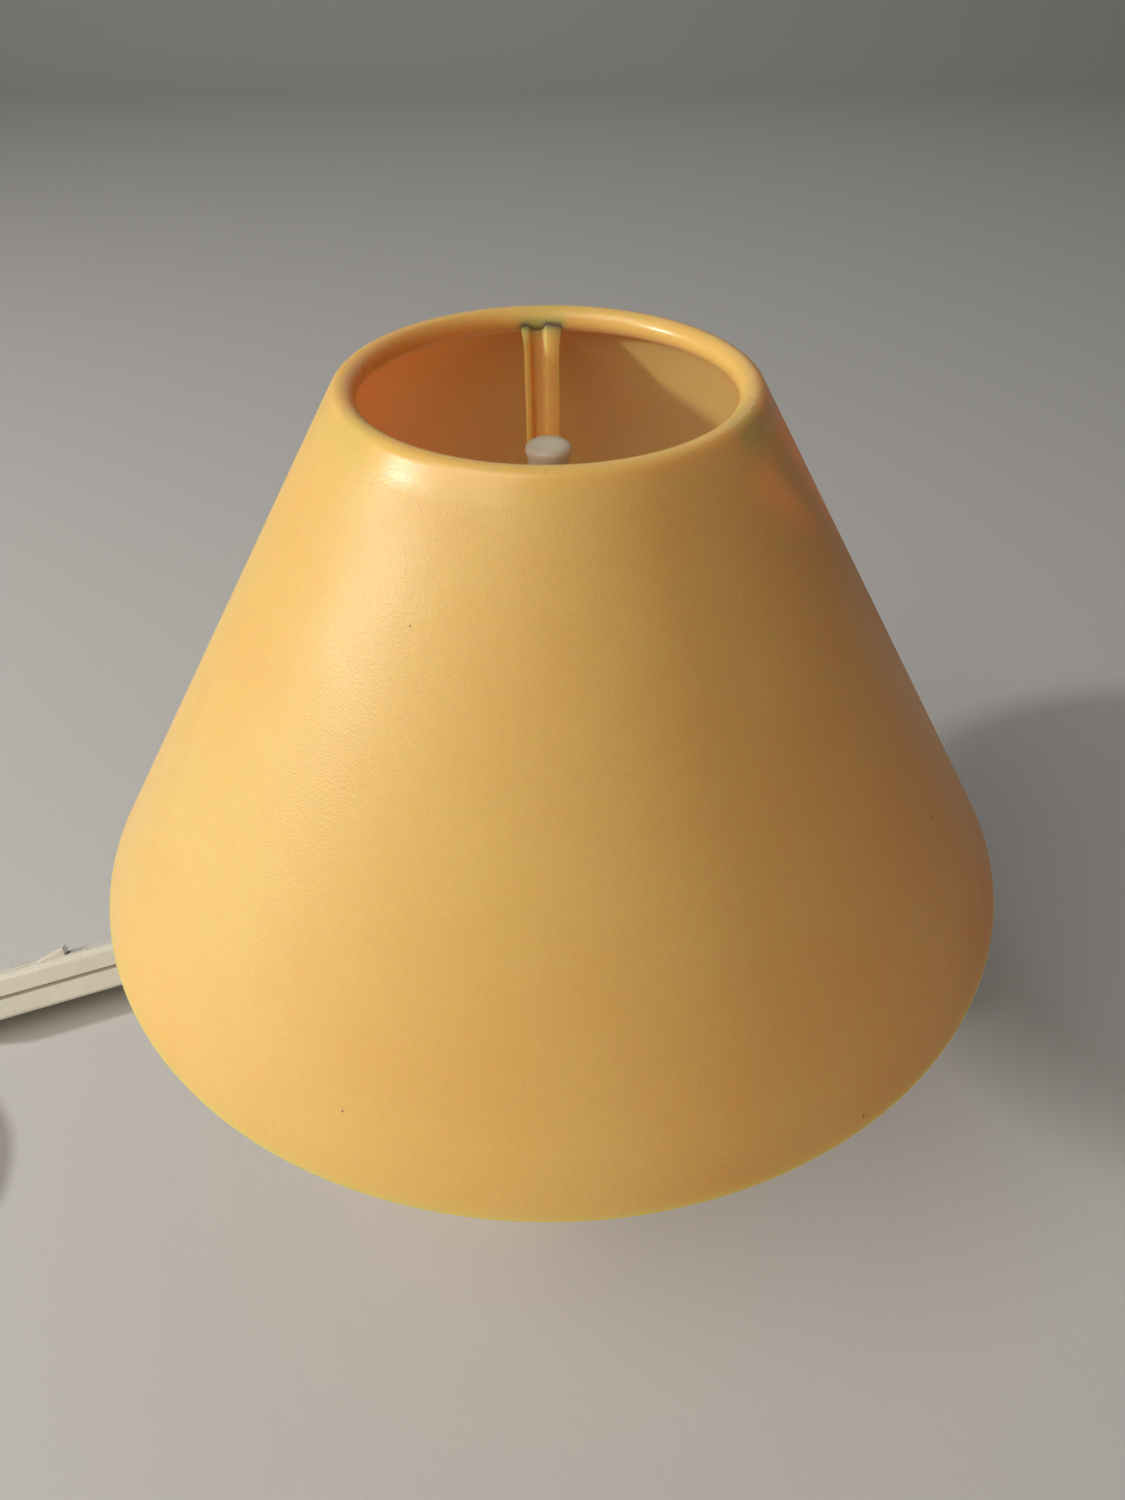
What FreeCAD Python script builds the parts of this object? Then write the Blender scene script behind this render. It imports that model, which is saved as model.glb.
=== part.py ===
"""Small table lamp: moulded conical shade on three legs, candle bulb, weighted base, in-line switch.

Millimetres, +Z up. The origin is the middle of the base where it stands on the table. The lamp's
axis is Z. The mains cord leaves the base, passes through the switch, and ends in a coil and a plug.
"""
import FreeCAD
import Part
import math
import os
from FreeCAD import Vector as V

os.makedirs("parts", exist_ok=True)

# Shade
SHADE_LOWER_R = 100.0        # outside, at the open lower edge
SHADE_SLOPE = 0.5888         # how far the wall leans in for each millimetre up
SHADE_HEIGHT = 106.0         # lower edge to the top of the rim
SHADE_DROP = 12.0            # lower edge below the top of the holder's flange
SHADE_WALL = 1.8
EDGE_ROUND = 0.5
RIM_R = 2.43                 # radius of the rolled rim's round section
LEG_COUNT = 3
LEG_AZIMUTH = 92.0           # degrees, the leg at the back
LEG_TOP_WIDTH = 7.3
LEG_FOOT_WIDTH = 6.0
LEG_FLARE = 0.8              # each side, where a leg runs out into the rim
LEG_THICKNESS = 3.4
LEG_GROOVE_WIDTH = 3.2
LEG_GROOVE_DEPTH = 1.5
LEG_GROOVE_SHIFT = 0.8       # the groove's middle, off the middle of the leg
CARRIER_THICKNESS = 3.0
CARRIER_WIDTH = 7.5

# Base
BASE_FOOT_R = 46.0
FOOT_SIDE_HEIGHT = 18.0      # upright side of the foot, its round included
FOOT_HEIGHT = 27.0           # table to the flat that the stem stands on
BASE_HEIGHT = 72.0           # table to the top of the stem
STEM_FOOT_R = 17.0
STEM_NECK_R = 13.5
BASE_WALL = 2.6
BASE_ROUND = 3.5
FOOT_PLATE = 3.0
NECK_PLATE = 4.0
PAD_HEIGHT = 2.0
PAD_R = 5.0
PAD_COUNT = 4
PAD_RING_R = 33.0
COVER_THICKNESS = 2.5
COVER_SCREW_COUNT = 4
BALLAST_THICKNESS = 8.0
BALLAST_BORE_R = 8.0
COVER_BOSS_R = 3.6
CORD_EXIT_Z = 10.0
CORD_EXIT_TURN = 150.0       # degrees round the base

# Screws, cord clamp and cord bush
SCREW_R = 1.5
SCREW_HEAD_R = 2.8
SCREW_HEAD_HEIGHT = 1.6
SCREW_LENGTH = 9.0
SCREW_DRIVE = 3.2            # across the cross recess
SCREW_SINK = 1.2             # how deep a cover screw's head is let in
CLAMP_AT_R = 33.0
CLAMP_SCREW_SPREAD = 6.6
CLAMP_BAR = (6.0, 20.0, 2.6)
CLAMP_BOSS_R = 2.9
BUSH_R = 4.0
BUSH_COLLAR = 1.2            # how far the bush's collars stand out, each side of the wall
BUSH_LENGTH = 24.0

# Lamp holder and its thread
NIPPLE_R = 5.0
NIPPLE_BORE_R = 3.9
HOLDER_R = 15.0
HOLDER_WALL = 1.8
HOLDER_SKIRT_HEIGHT = 28.0
HOLDER_FLANGE_R = 17.4
HOLDER_FLANGE_THICKNESS = 3.0
HOLDER_BODY_HEIGHT = 9.0     # from the skirt to the flange
HOLDER_THREAD_R = 13.8
HOLDER_THREAD_HEIGHT = 9.5
THREAD_PITCH = 2.0
THREAD_DEPTH = 0.6
CORE_R = 9.2
CORE_BASE_R = 11.0
CORE_FLANGE_THICKNESS = 3.6
HOLDER_FLOOR = 3.2
CONTACT_WALL = 0.4
TERMINAL = (5.0, 6.0, 6.0)
TERMINAL_AT = 6.2
TERMINAL_SCREW_R = 1.0
TERMINAL_SCREW_Z = 3.6       # above the foot of the core
LEAD_R = 0.9
NUT_ACROSS = 14.0
NUT_HEIGHT = 4.0
WASHER_R = 9.0
WASHER_THICKNESS = 1.0
RING_R = 17.3
RING_HEIGHT = 5.6
RING_LUGS = 24

# Bulb
BULB_R = 17.5
BULB_LENGTH = 98.0
CAP_R = 6.95
CAP_FLANGE_R = 8.5
CAP_LENGTH = 25.0
CAP_DEPTH = 16.4             # end of the bulb's cap below the top of the holder's flange
CAP_PITCH = 2.82
GLASS_WALL = 0.8
STEM_GLASS_LENGTH = 22.0
FILAMENT_RISE = 16.0         # above the glass stem
FILAMENT_REACH = 8.0
FILAMENT_WIRE_R = 0.25
FILAMENT_COIL_R = 0.45

# In-line switch
SWITCH_LENGTH = 70.0
SWITCH_WIDTH = 19.0
SWITCH_HEIGHT = 13.0
SWITCH_SPLIT = 6.2           # height of the parting line
SWITCH_WALL = 1.8
SWITCH_CORNER = 8.0
SWITCH_EDGE_R = 1.0          # round of the lower shell's long edges
SWITCH_CROWN_R = 2.2         # round of the upper shell's edges
SWITCH_PIN_R = 1.0
SWITCH_SCREW_AT = 24.0       # from the middle, along the switch
SWITCH_POST_R = 3.4
SWITCH_BUSH_R = 4.2
PARTING_GROOVE = 0.5
SWITCH_AT = (-153.6, 24.9)   # the middle of its cord's axis, in plan
SWITCH_TURN = 21.24          # degrees from +X
SWITCH_ROLL = 40.0           # degrees, how far the cord's twist leans it back on one long edge
ROCKER_LENGTH = 17.0
ROCKER_WIDTH = 9.0
ROCKER_TILT = 7.0            # degrees each way from level

# Cord and plug
CORD_R = 2.8
COIL_AT = (-206.2, -44.0)
COIL_INNER_TURN_R = 19.9     # middle of the innermost turn
COIL_TURNS = 5               # side by side in each layer
COIL_LAYERS = 2
PLUG_AT = (-223.2, -90.4)    # where the cord enters the plug's strain relief
PLUG_TURN = -35.0            # degrees, the way the pins point
PLUG_RELIEF_LENGTH = 22.0
PLUG_LENGTH = 36.0
PLUG_WIDTH = 35.0
PLUG_THICKNESS = 13.7
PIN_R = 2.0
PIN_LENGTH = 19.0
PIN_SPACING = 18.0
PIN_ROOT = 9.0
PIN_NECK_R = 1.4             # in the body and under the sleeve
SLEEVE_R = 1.8
SLEEVE_LENGTH = 10.0
TIE_THICKNESS = 0.9
TIE_WIDTH = 6.0
TIE_TURN = 320.0             # degrees round the coil

# Clearances
THREAD_CLEARANCE = 0.05      # radial, between screwed parts that stay put
RUNNING_GAP = 0.25           # between parts that move on each other
SEAT_GAP = 0.02              # between parts that are assembled face to face
BORE_GAP = 0.05              # radial, round a cord or a pin

Z = V(0, 0, 1)
SHADE_LEAN = math.atan(SHADE_SLOPE)
FLANGE_TOP = BASE_HEIGHT + HOLDER_SKIRT_HEIGHT + HOLDER_BODY_HEIGHT + HOLDER_FLANGE_THICKNESS
SHADE_LIFT = FLANGE_TOP - SHADE_DROP
SHADE_TOP = SHADE_LIFT + SHADE_HEIGHT
HOLDER_TOP = FLANGE_TOP + HOLDER_THREAD_HEIGHT
CARRIER_BOTTOM = FLANGE_TOP + RUNNING_GAP
CARRIER_TOP = CARRIER_BOTTOM + CARRIER_THICKNESS
CARRIER_BORE_R = HOLDER_THREAD_R + 2 * RUNNING_GAP
CARRIER_R = CARRIER_BORE_R + CARRIER_WIDTH
BULB_BOTTOM = FLANGE_TOP - CAP_DEPTH
BULB_TOP = BULB_BOTTOM + BULB_LENGTH
CAP_TOP = BULB_BOTTOM + CAP_LENGTH
COVER_BOTTOM = PAD_HEIGHT
COVER_TOP = COVER_BOTTOM + COVER_THICKNESS
CAVITY_R = BASE_FOOT_R - BASE_WALL
COVER_SCREW_RING_R = CAVITY_R - COVER_BOSS_R - 1.2
CLAMP_Z = CORD_EXIT_Z + CORD_R
SADDLE_TOP = CORD_EXIT_Z - CORD_R
BUSH_END_R = BASE_FOOT_R + BUSH_LENGTH
NIPPLE_BOTTOM = FOOT_HEIGHT - FOOT_PLATE - 9.5
NIPPLE_TOP = BASE_HEIGHT + 5.0
CORE_BOTTOM = BASE_HEIGHT + 12.5
CORE_FLOOR = BULB_BOTTOM - 2.8
CONTACT_R = CAP_R + 0.95
STEM_GLASS_BOTTOM = CAP_TOP - 3.0
ROCKER_PIVOT_Z = SWITCH_HEIGHT - 3.6
SWITCH_CORD_Z = SWITCH_SPLIT
SWITCH_SCREW_SIDE = SWITCH_WIDTH / 2 - SWITCH_WALL - SWITCH_POST_R + 0.1
SWITCH_LEAN = math.radians(SWITCH_ROLL)
SWITCH_LIFT = ((SWITCH_WIDTH / 2 - SWITCH_EDGE_R) * math.sin(SWITCH_LEAN)
               + (SWITCH_CORD_Z - SWITCH_EDGE_R) * math.cos(SWITCH_LEAN)
               + SWITCH_EDGE_R - SWITCH_CORD_Z)
SWITCH_AXIS_Z = SWITCH_CORD_Z + SWITCH_LIFT
COIL_Z = TIE_THICKNESS
COIL_OUTER_R = COIL_INNER_TURN_R + (2 * COIL_TURNS - 1) * CORD_R
COIL_HEIGHT = COIL_LAYERS * 2 * CORD_R
COIL_BORE_R = COIL_INNER_TURN_R - CORD_R
PLUG_Z = PLUG_THICKNESS / 2
PLUG_FACE = PLUG_RELIEF_LENGTH + SEAT_GAP + PLUG_LENGTH


def save(shape, name):
    """Write one node and say how large it is."""
    assert shape.isValid(), name
    shape.exportStep("parts/" + name + ".step")
    box = shape.BoundBox
    print(f"{name:16s} {len(shape.Solids)} solid(s) {shape.Volume:10.1f} mm3"
          f"  z {box.ZMin:7.2f} to {box.ZMax:7.2f}")


def polar(radius, degrees, z=0.0):
    """Return the point at a radius and an azimuth round Z."""
    angle = math.radians(degrees)
    return V(radius * math.cos(angle), radius * math.sin(angle), z)


def turned(edges):
    """Return the solid swept round Z by a closed outline in the XZ plane."""
    face = Part.Face(Part.Wire(edges))
    return face.revolve(V(0, 0, 0), Z, 360)


def line(a, b):
    """Return an edge between two (radius, z) points."""
    return Part.LineSegment(V(a[0], 0, a[1]), V(b[0], 0, b[1])).toShape()


def arc(a, middle, b):
    """Return an arc through three (radius, z) points."""
    return Part.Arc(*(V(p[0], 0, p[1]) for p in (a, middle, b))).toShape()


def turned_outline(points):
    """Return the solid swept round Z by a closed outline of straight lines."""
    return turned([line(a, b) for a, b in zip(points, points[1:] + points[:1])])


def disc(radius, z, height, at=(0.0, 0.0)):
    """Return an upright cylinder."""
    return Part.makeCylinder(radius, height, V(at[0], at[1], z))


def tube(outer, inner, z, height, at=(0.0, 0.0)):
    """Return an upright ring."""
    return disc(outer, z, height, at).cut(disc(inner, z - 1, height + 2, at))


def block(size, middle, bottom=0.0):
    """Return a box by its size, the middle of its plan and its underside."""
    corner = V(middle[0] - size[0] / 2, middle[1] - size[1] / 2, bottom)
    return Part.makeBox(size[0], size[1], size[2], corner)


def rounded_slab(length, width, corner, z, height):
    """Return a flat block along X with its four upright corners rounded."""
    slab = block((length, width, height), (0, 0), z)
    upright = [e for e in slab.Edges if abs(e.tangentAt(e.FirstParameter).z) > 0.9]
    return slab.makeFillet(corner, upright)


def turned_about_z(shape, degrees, at=(0.0, 0.0, 0.0)):
    """Return a copy turned about Z and then moved."""
    copy = shape.copy()
    copy.rotate(V(0, 0, 0), Z, degrees)
    copy.translate(V(*at))
    return copy


def thread_rings(radius, depth, z, height, pitch, inwards):
    """Return V-shaped rings that stand for the turns of a thread, to cut from a round wall."""
    side = -1 if inwards else 1
    rings = []
    count = int(height / pitch)
    for turn in range(count):
        middle = z + (turn + 0.5) * height / count
        half = 0.3 * pitch
        outer = radius + side * 0.2
        rings.append(turned_outline([(outer, middle - half), (outer, middle + half),
                                     (radius - side * depth, middle)]))
    return Part.makeCompound(rings)


# ---------------------------------------------------------------- shade

def shade_outer_r(z):
    """Return the outside radius of the cone's wall at a height."""
    return SHADE_LOWER_R - SHADE_SLOPE * (z - SHADE_LIFT)


def rim_centre():
    """Return the middle of the rim's round section, which touches the outside of the cone."""
    z = SHADE_TOP - RIM_R
    return shade_outer_r(z) - RIM_R / math.cos(SHADE_LEAN), z


def shade_wall():
    """Return the cone with its rolled rim and its level lower edge."""
    out = (math.cos(SHADE_LEAN), math.sin(SHADE_LEAN))
    up = (-out[1], out[0])
    centre = rim_centre()

    def from_rim(along_out, along_up):
        return (centre[0] + along_out * out[0] + along_up * up[0],
                centre[1] + along_out * out[1] + along_up * up[1])

    inset = RIM_R - SHADE_WALL
    drop = math.sqrt(RIM_R ** 2 - inset ** 2)
    outer_top = from_rim(RIM_R, 0)
    edge_r = shade_outer_r(SHADE_LIFT)
    outer_foot = (shade_outer_r(SHADE_LIFT + EDGE_ROUND), SHADE_LIFT + EDGE_ROUND)
    edge_middle = (edge_r - 0.4 * EDGE_ROUND, SHADE_LIFT + 0.25 * EDGE_ROUND)
    edge_foot = (edge_r - 1.1 * EDGE_ROUND, SHADE_LIFT)
    inner_foot = (edge_r - SHADE_WALL / math.cos(SHADE_LEAN), SHADE_LIFT)
    inner_top = from_rim(inset, -drop)
    crest = (centre[0], centre[1] + RIM_R)
    mouth = (centre[0] - RIM_R, centre[1])
    under = from_rim(-RIM_R * 0.6, -RIM_R * 0.8)
    return turned([
        line(outer_foot, outer_top),
        arc(outer_top, crest, mouth),
        arc(mouth, under, inner_top),
        line(inner_top, inner_foot),
        line(inner_foot, edge_foot),
        arc(edge_foot, edge_middle, outer_foot),
    ])


def leg_section(z, inner_r, width, thickness, groove_width, groove_depth):
    """Return the channel section of a leg along +X at a height, open towards the axis."""
    half = width / 2
    slot = groove_width / 2
    outline = [(0, -half), (thickness, -half), (thickness, half), (0, half),
               (0, LEG_GROOVE_SHIFT + slot), (groove_depth, LEG_GROOVE_SHIFT + slot * 0.7),
               (groove_depth, LEG_GROOVE_SHIFT - slot * 0.7), (0, LEG_GROOVE_SHIFT - slot)]
    points = [V(inner_r + r, t, z) for r, t in outline]
    return Part.makePolygon(points + points[:1])


def shade_leg():
    """Return one channel leg from the rim down to the carrier ring, along +X."""
    rim_r, rim_z = rim_centre()
    top_r = rim_r - RIM_R + 0.1
    foot_r = CARRIER_R - LEG_THICKNESS
    foot_z = CARRIER_BOTTOM
    flare_z = rim_z - RIM_R - 1.6
    share = (rim_z - flare_z) / (rim_z - foot_z)
    below_r = top_r + (foot_r - top_r) * share
    flared = leg_section(rim_z, top_r, LEG_TOP_WIDTH + 2 * LEG_FLARE, LEG_THICKNESS,
                         LEG_GROOVE_WIDTH, LEG_GROOVE_DEPTH * 0.4)
    below = leg_section(flare_z, below_r, LEG_TOP_WIDTH, LEG_THICKNESS,
                        LEG_GROOVE_WIDTH, LEG_GROOVE_DEPTH)
    foot = leg_section(foot_z, foot_r, LEG_FOOT_WIDTH, LEG_THICKNESS,
                       LEG_GROOVE_WIDTH * LEG_FOOT_WIDTH / LEG_TOP_WIDTH, LEG_GROOVE_DEPTH)
    upper = Part.makeLoft([flared, below], True, True)
    lower = Part.makeLoft([below, foot], True, True)
    return upper.fuse(lower)


def shade():
    """Return the one-piece moulding: cone, rim, legs and carrier ring."""
    carrier = tube(CARRIER_R, CARRIER_BORE_R, CARRIER_BOTTOM, CARRIER_THICKNESS)
    legs = [turned_about_z(shade_leg(), LEG_AZIMUTH + 360.0 * k / LEG_COUNT)
            for k in range(LEG_COUNT)]
    return shade_wall().fuse([carrier] + legs).removeSplitter()


def shade_ring():
    """Return the screwed ring that clamps the shade's carrier on the lamp holder."""
    bottom = CARRIER_TOP + RUNNING_GAP
    bore = HOLDER_THREAD_R + BORE_GAP
    ring = tube(RING_R, bore, bottom, RING_HEIGHT)
    grips = [disc(0.7, bottom - 1, RING_HEIGHT + 2, polar(RING_R + 0.25, 360.0 * k / RING_LUGS)[:2])
             for k in range(RING_LUGS)]
    threads = thread_rings(bore, THREAD_DEPTH, bottom, RING_HEIGHT, THREAD_PITCH, True)
    return ring.cut(Part.makeCompound(grips)).cut(threads)


# ---------------------------------------------------------------- base

def dome(inset):
    """Return the solid under the foot's outside, or under its inside when given its wall."""
    side_r = BASE_FOOT_R - inset
    side_top = FOOT_SIDE_HEIGHT - BASE_ROUND
    top = FOOT_HEIGHT - (FOOT_PLATE if inset else 0.0)
    share = 1 - math.sqrt(0.5)
    corner = (side_r - BASE_ROUND * share, FOOT_SIDE_HEIGHT - inset / 2 - BASE_ROUND * share)
    shoulder = (side_r - BASE_ROUND, FOOT_SIDE_HEIGHT - inset / 2)
    flat_r = STEM_FOOT_R + 2.5
    rise = top - shoulder[1]
    middle = ((shoulder[0] + flat_r) / 2, shoulder[1] + 0.62 * rise)
    bottom = COVER_BOTTOM - 0.5 - inset
    return turned([
        line((0, bottom), (side_r, bottom)),
        line((side_r, bottom), (side_r, side_top - inset / 2)),
        arc((side_r, side_top - inset / 2), corner, shoulder),
        arc(shoulder, middle, (flat_r, top)),
        line((flat_r, top), (0, top)),
        line((0, top), (0, bottom)),
    ])


def base_foot():
    """Return the moulded foot with its bosses for the cover's screws and its hole for the cord."""
    outside = dome(0.0)
    foot = outside.cut(dome(BASE_WALL))
    bosses = [disc(COVER_BOSS_R, COVER_TOP + SEAT_GAP, FOOT_HEIGHT, at).common(outside)
              for at in cover_screw_places()]
    foot = foot.fuse(bosses)
    for at in cover_screw_places():
        foot = foot.cut(disc(SCREW_R + THREAD_CLEARANCE, COVER_BOTTOM - 1, SCREW_LENGTH, at))
    foot = foot.cut(disc(NIPPLE_R + THREAD_CLEARANCE, 0, BASE_HEIGHT + 1))
    hole = Part.makeCylinder(BUSH_R, 4 * BASE_WALL, V(CAVITY_R - BASE_WALL, 0, CORD_EXIT_Z),
                             V(1, 0, 0))
    return foot.cut(turned_about_z(hole, CORD_EXIT_TURN)).cut(cord_bush()).removeSplitter()


def stem():
    """Return the tapered hollow stem, closed at the top round the nipple."""
    bottom = FOOT_HEIGHT + SEAT_GAP
    hole = NIPPLE_R + THREAD_CLEARANCE
    ceiling = BASE_HEIGHT - NECK_PLATE
    return turned_outline([(STEM_FOOT_R - BASE_WALL, bottom), (STEM_FOOT_R, bottom),
                           (STEM_NECK_R, BASE_HEIGHT), (hole, BASE_HEIGHT), (hole, ceiling),
                           (STEM_NECK_R - BASE_WALL, ceiling)])


def cover_screw_places():
    """Return the plan positions of the cover's screws, clear of the cord's way in."""
    step = 360.0 / COVER_SCREW_COUNT
    return [tuple(polar(COVER_SCREW_RING_R, CORD_EXIT_TURN + step * (k + 0.5)))[:2]
            for k in range(COVER_SCREW_COUNT)]


def screw(at, head_z, length, upwards):
    """Return a pan-head screw with a cross recess; its head starts at head_z."""
    head = disc(SCREW_HEAD_R, 0, SCREW_HEAD_HEIGHT)
    rim = [e for e in head.Edges if e.Length > 1 and abs(e.BoundBox.ZMin) < 1e-6
           and e.BoundBox.ZLength < 1e-6]
    head = head.makeFillet(0.7, rim)
    shank = disc(SCREW_R, SCREW_HEAD_HEIGHT, length)
    slots = block((SCREW_DRIVE, 0.6, 0.9), (0, 0)).fuse(block((0.6, SCREW_DRIVE, 0.9), (0, 0)))
    body = head.fuse(shank).cut(slots)
    if not upwards:
        body.rotate(V(0, 0, 0), V(1, 0, 0), 180)
    body.translate(V(at[0], at[1], head_z))
    return body


def clamp_screw_places():
    """Return the plan positions of the clamp's screws, one each side of the cord."""
    places = []
    for side in (-1, 1):
        at = V(CLAMP_AT_R, side * CLAMP_SCREW_SPREAD, 0)
        turned_at = FreeCAD.Rotation(Z, CORD_EXIT_TURN).multVec(at)
        places.append((turned_at.x, turned_at.y))
    return places


def bottom_cover():
    """Return the disc that closes the base, with the bosses and saddle under the cord clamp."""
    cover = disc(CAVITY_R - RUNNING_GAP, COVER_BOTTOM, COVER_THICKNESS)
    saddle = block((5.0, 8.0, SADDLE_TOP - COVER_TOP), (CLAMP_AT_R, 0), COVER_TOP)
    bosses = [disc(CLAMP_BOSS_R, COVER_TOP, CLAMP_Z - COVER_TOP, at) for at in clamp_screw_places()]
    cover = cover.fuse([turned_about_z(saddle, CORD_EXIT_TURN)] + bosses)
    for at in cover_screw_places():
        cover = cover.cut(disc(SCREW_R + RUNNING_GAP, 0, COVER_TOP + 1, at))
        cover = cover.cut(disc(SCREW_HEAD_R + RUNNING_GAP, 0, COVER_BOTTOM + SCREW_SINK, at))
    for at in clamp_screw_places():
        cover = cover.cut(disc(SCREW_R + THREAD_CLEARANCE, COVER_BOTTOM + 1, CLAMP_Z, at))
    for at in pad_places():
        cover = cover.cut(disc(PAD_R + SEAT_GAP, COVER_BOTTOM - 1, 1.8, at))
    return cover


def cover_screws():
    """Return the screws that hold the bottom cover."""
    head_z = COVER_BOTTOM + SCREW_SINK - SCREW_HEAD_HEIGHT
    return [screw(at, head_z, SCREW_LENGTH - 3.0, True) for at in cover_screw_places()]


def pad_places():
    """Return the plan positions of the feet."""
    step = 360.0 / PAD_COUNT
    return [tuple(polar(PAD_RING_R, CORD_EXIT_TURN + step * k))[:2] for k in range(PAD_COUNT)]


def foot_pads():
    """Return the round feet, let into the cover."""
    return [disc(PAD_R, 0, PAD_HEIGHT + 0.8 - SEAT_GAP, at) for at in pad_places()]


def ballast_plate():
    """Return the steel weight, notched where the cord comes in."""
    radius = COVER_SCREW_RING_R - COVER_BOSS_R - 1.0
    plate = disc(radius, COVER_TOP + SEAT_GAP, BALLAST_THICKNESS)
    notch = block((2 * radius, 2 * (CLAMP_SCREW_SPREAD + CLAMP_BOSS_R + 1.5), BALLAST_THICKNESS + 2),
                  (radius, 0), COVER_TOP)
    plate = plate.cut(turned_about_z(notch, CORD_EXIT_TURN))
    return plate.cut(disc(BALLAST_BORE_R, COVER_TOP - 1, BALLAST_THICKNESS + 2))


def cord_bush():
    """Return the flexible bush in the base's wall, tapering along the cord outside it."""
    bore = CORD_R + BORE_GAP
    collar = BUSH_R + BUSH_COLLAR
    profile = [(bore, -BASE_WALL - 1.8), (collar, -BASE_WALL - 1.8),
               (collar, -BASE_WALL - 0.3), (BUSH_R - SEAT_GAP, -BASE_WALL - 0.3),
               (BUSH_R - SEAT_GAP, 0.3), (collar + 0.2, 0.3), (collar, 2.0),
               (BUSH_R, 2.6), (bore + 0.7, BUSH_LENGTH), (bore, BUSH_LENGTH)]
    bush = turned_outline(profile)
    bush.rotate(V(0, 0, 0), V(0, 1, 0), 90)
    bush.translate(V(BASE_FOOT_R, 0, CORD_EXIT_Z))
    return turned_about_z(bush, CORD_EXIT_TURN)


def cord_clamp():
    """Return the bar that grips the cord inside the base."""
    bar = block(CLAMP_BAR, (CLAMP_AT_R, 0), CLAMP_Z + SEAT_GAP)
    bar = turned_about_z(bar, CORD_EXIT_TURN)
    for at in clamp_screw_places():
        bar = bar.cut(disc(SCREW_R + THREAD_CLEARANCE, CLAMP_Z - 1, 9, at))
    return bar


def clamp_screws():
    """Return the clamp's two screws."""
    head_z = CLAMP_Z + CLAMP_BAR[2] + 2 * SEAT_GAP + SCREW_HEAD_HEIGHT
    return [screw(at, head_z, 7.0, False) for at in clamp_screw_places()]


# ---------------------------------------------------------------- lamp holder

def nipple():
    """Return the long tube, threaded at both ends, that draws foot, stem and holder together."""
    pipe = tube(NIPPLE_R, NIPPLE_BORE_R, NIPPLE_BOTTOM, NIPPLE_TOP - NIPPLE_BOTTOM)
    threads = thread_rings(NIPPLE_R, 0.4, NIPPLE_BOTTOM + 0.5, 11.0, 1.0, False)
    return pipe.cut(threads)


def nipple_washer():
    """Return the washer under the foot's top."""
    z = FOOT_HEIGHT - FOOT_PLATE - WASHER_THICKNESS - SEAT_GAP
    return tube(WASHER_R, NIPPLE_R + BORE_GAP, z, WASHER_THICKNESS)


def nipple_nut():
    """Return the hexagon nut that pulls the nipple down."""
    z = FOOT_HEIGHT - FOOT_PLATE - WASHER_THICKNESS - 2 * SEAT_GAP - NUT_HEIGHT
    corners = [polar(NUT_ACROSS / math.sqrt(3), 60 * k, z) for k in range(7)]
    nut = Part.Face(Part.makePolygon(corners)).extrude(V(0, 0, NUT_HEIGHT))
    return nut.cut(disc(NIPPLE_R + THREAD_CLEARANCE, z - 1, NUT_HEIGHT + 2))


def holder_skirt():
    """Return the holder's lower cap, screwed on the nipple."""
    bottom = BASE_HEIGHT + SEAT_GAP
    top = BASE_HEIGHT + HOLDER_SKIRT_HEIGHT
    low_r = STEM_NECK_R - 1.0
    outline = [(NIPPLE_R + THREAD_CLEARANCE, bottom), (low_r, bottom), (HOLDER_R, bottom + 9.0),
               (HOLDER_R, top), (HOLDER_R - HOLDER_WALL, top), (HOLDER_R - HOLDER_WALL, bottom + 9.6),
               (low_r - HOLDER_WALL, bottom + HOLDER_FLOOR),
               (NIPPLE_R + THREAD_CLEARANCE, bottom + HOLDER_FLOOR)]
    return turned_outline(outline)


def holder_shell():
    """Return the holder's upper part: body, flange under the shade and thread for the ring."""
    bottom = BASE_HEIGHT + HOLDER_SKIRT_HEIGHT + SEAT_GAP
    flange_bottom = FLANGE_TOP - HOLDER_FLANGE_THICKNESS
    bore = CORE_R + BORE_GAP
    outline = [(bore, bottom), (HOLDER_R, bottom), (HOLDER_R, flange_bottom),
               (HOLDER_FLANGE_R, flange_bottom + 0.6), (HOLDER_FLANGE_R, FLANGE_TOP),
               (HOLDER_THREAD_R, FLANGE_TOP), (HOLDER_THREAD_R, HOLDER_TOP - 0.6),
               (HOLDER_THREAD_R - 0.6, HOLDER_TOP), (bore, HOLDER_TOP)]
    shell = turned_outline(outline)
    threads = thread_rings(HOLDER_THREAD_R, THREAD_DEPTH, FLANGE_TOP + 0.8,
                           HOLDER_THREAD_HEIGHT - 1.6, THREAD_PITCH, False)
    return shell.cut(threads)


def holder_core():
    """Return the insulating insert that carries the contacts."""
    top = FLANGE_TOP - 1.0
    flange_top = BASE_HEIGHT + HOLDER_SKIRT_HEIGHT
    flange_bottom = flange_top - CORE_FLANGE_THICKNESS
    bore = CONTACT_R + BORE_GAP
    inner_wall_r = HOLDER_R - HOLDER_WALL - BORE_GAP
    outline = [(0, CORE_BOTTOM), (CORE_BASE_R, CORE_BOTTOM), (CORE_BASE_R, flange_bottom),
               (inner_wall_r, flange_bottom), (inner_wall_r, flange_top), (CORE_R, flange_top),
               (CORE_R, top), (bore, top), (bore, CORE_FLOOR), (0, CORE_FLOOR)]
    core = turned_outline(outline)
    for side in (-1, 1):
        pocket = block((TERMINAL[0] + 0.4, TERMINAL[1] + 0.4, TERMINAL[2] + 1.0),
                       (side * TERMINAL_AT, 0), CORE_BOTTOM - 1.0)
        core = core.cut(pocket)
    return core


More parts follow.
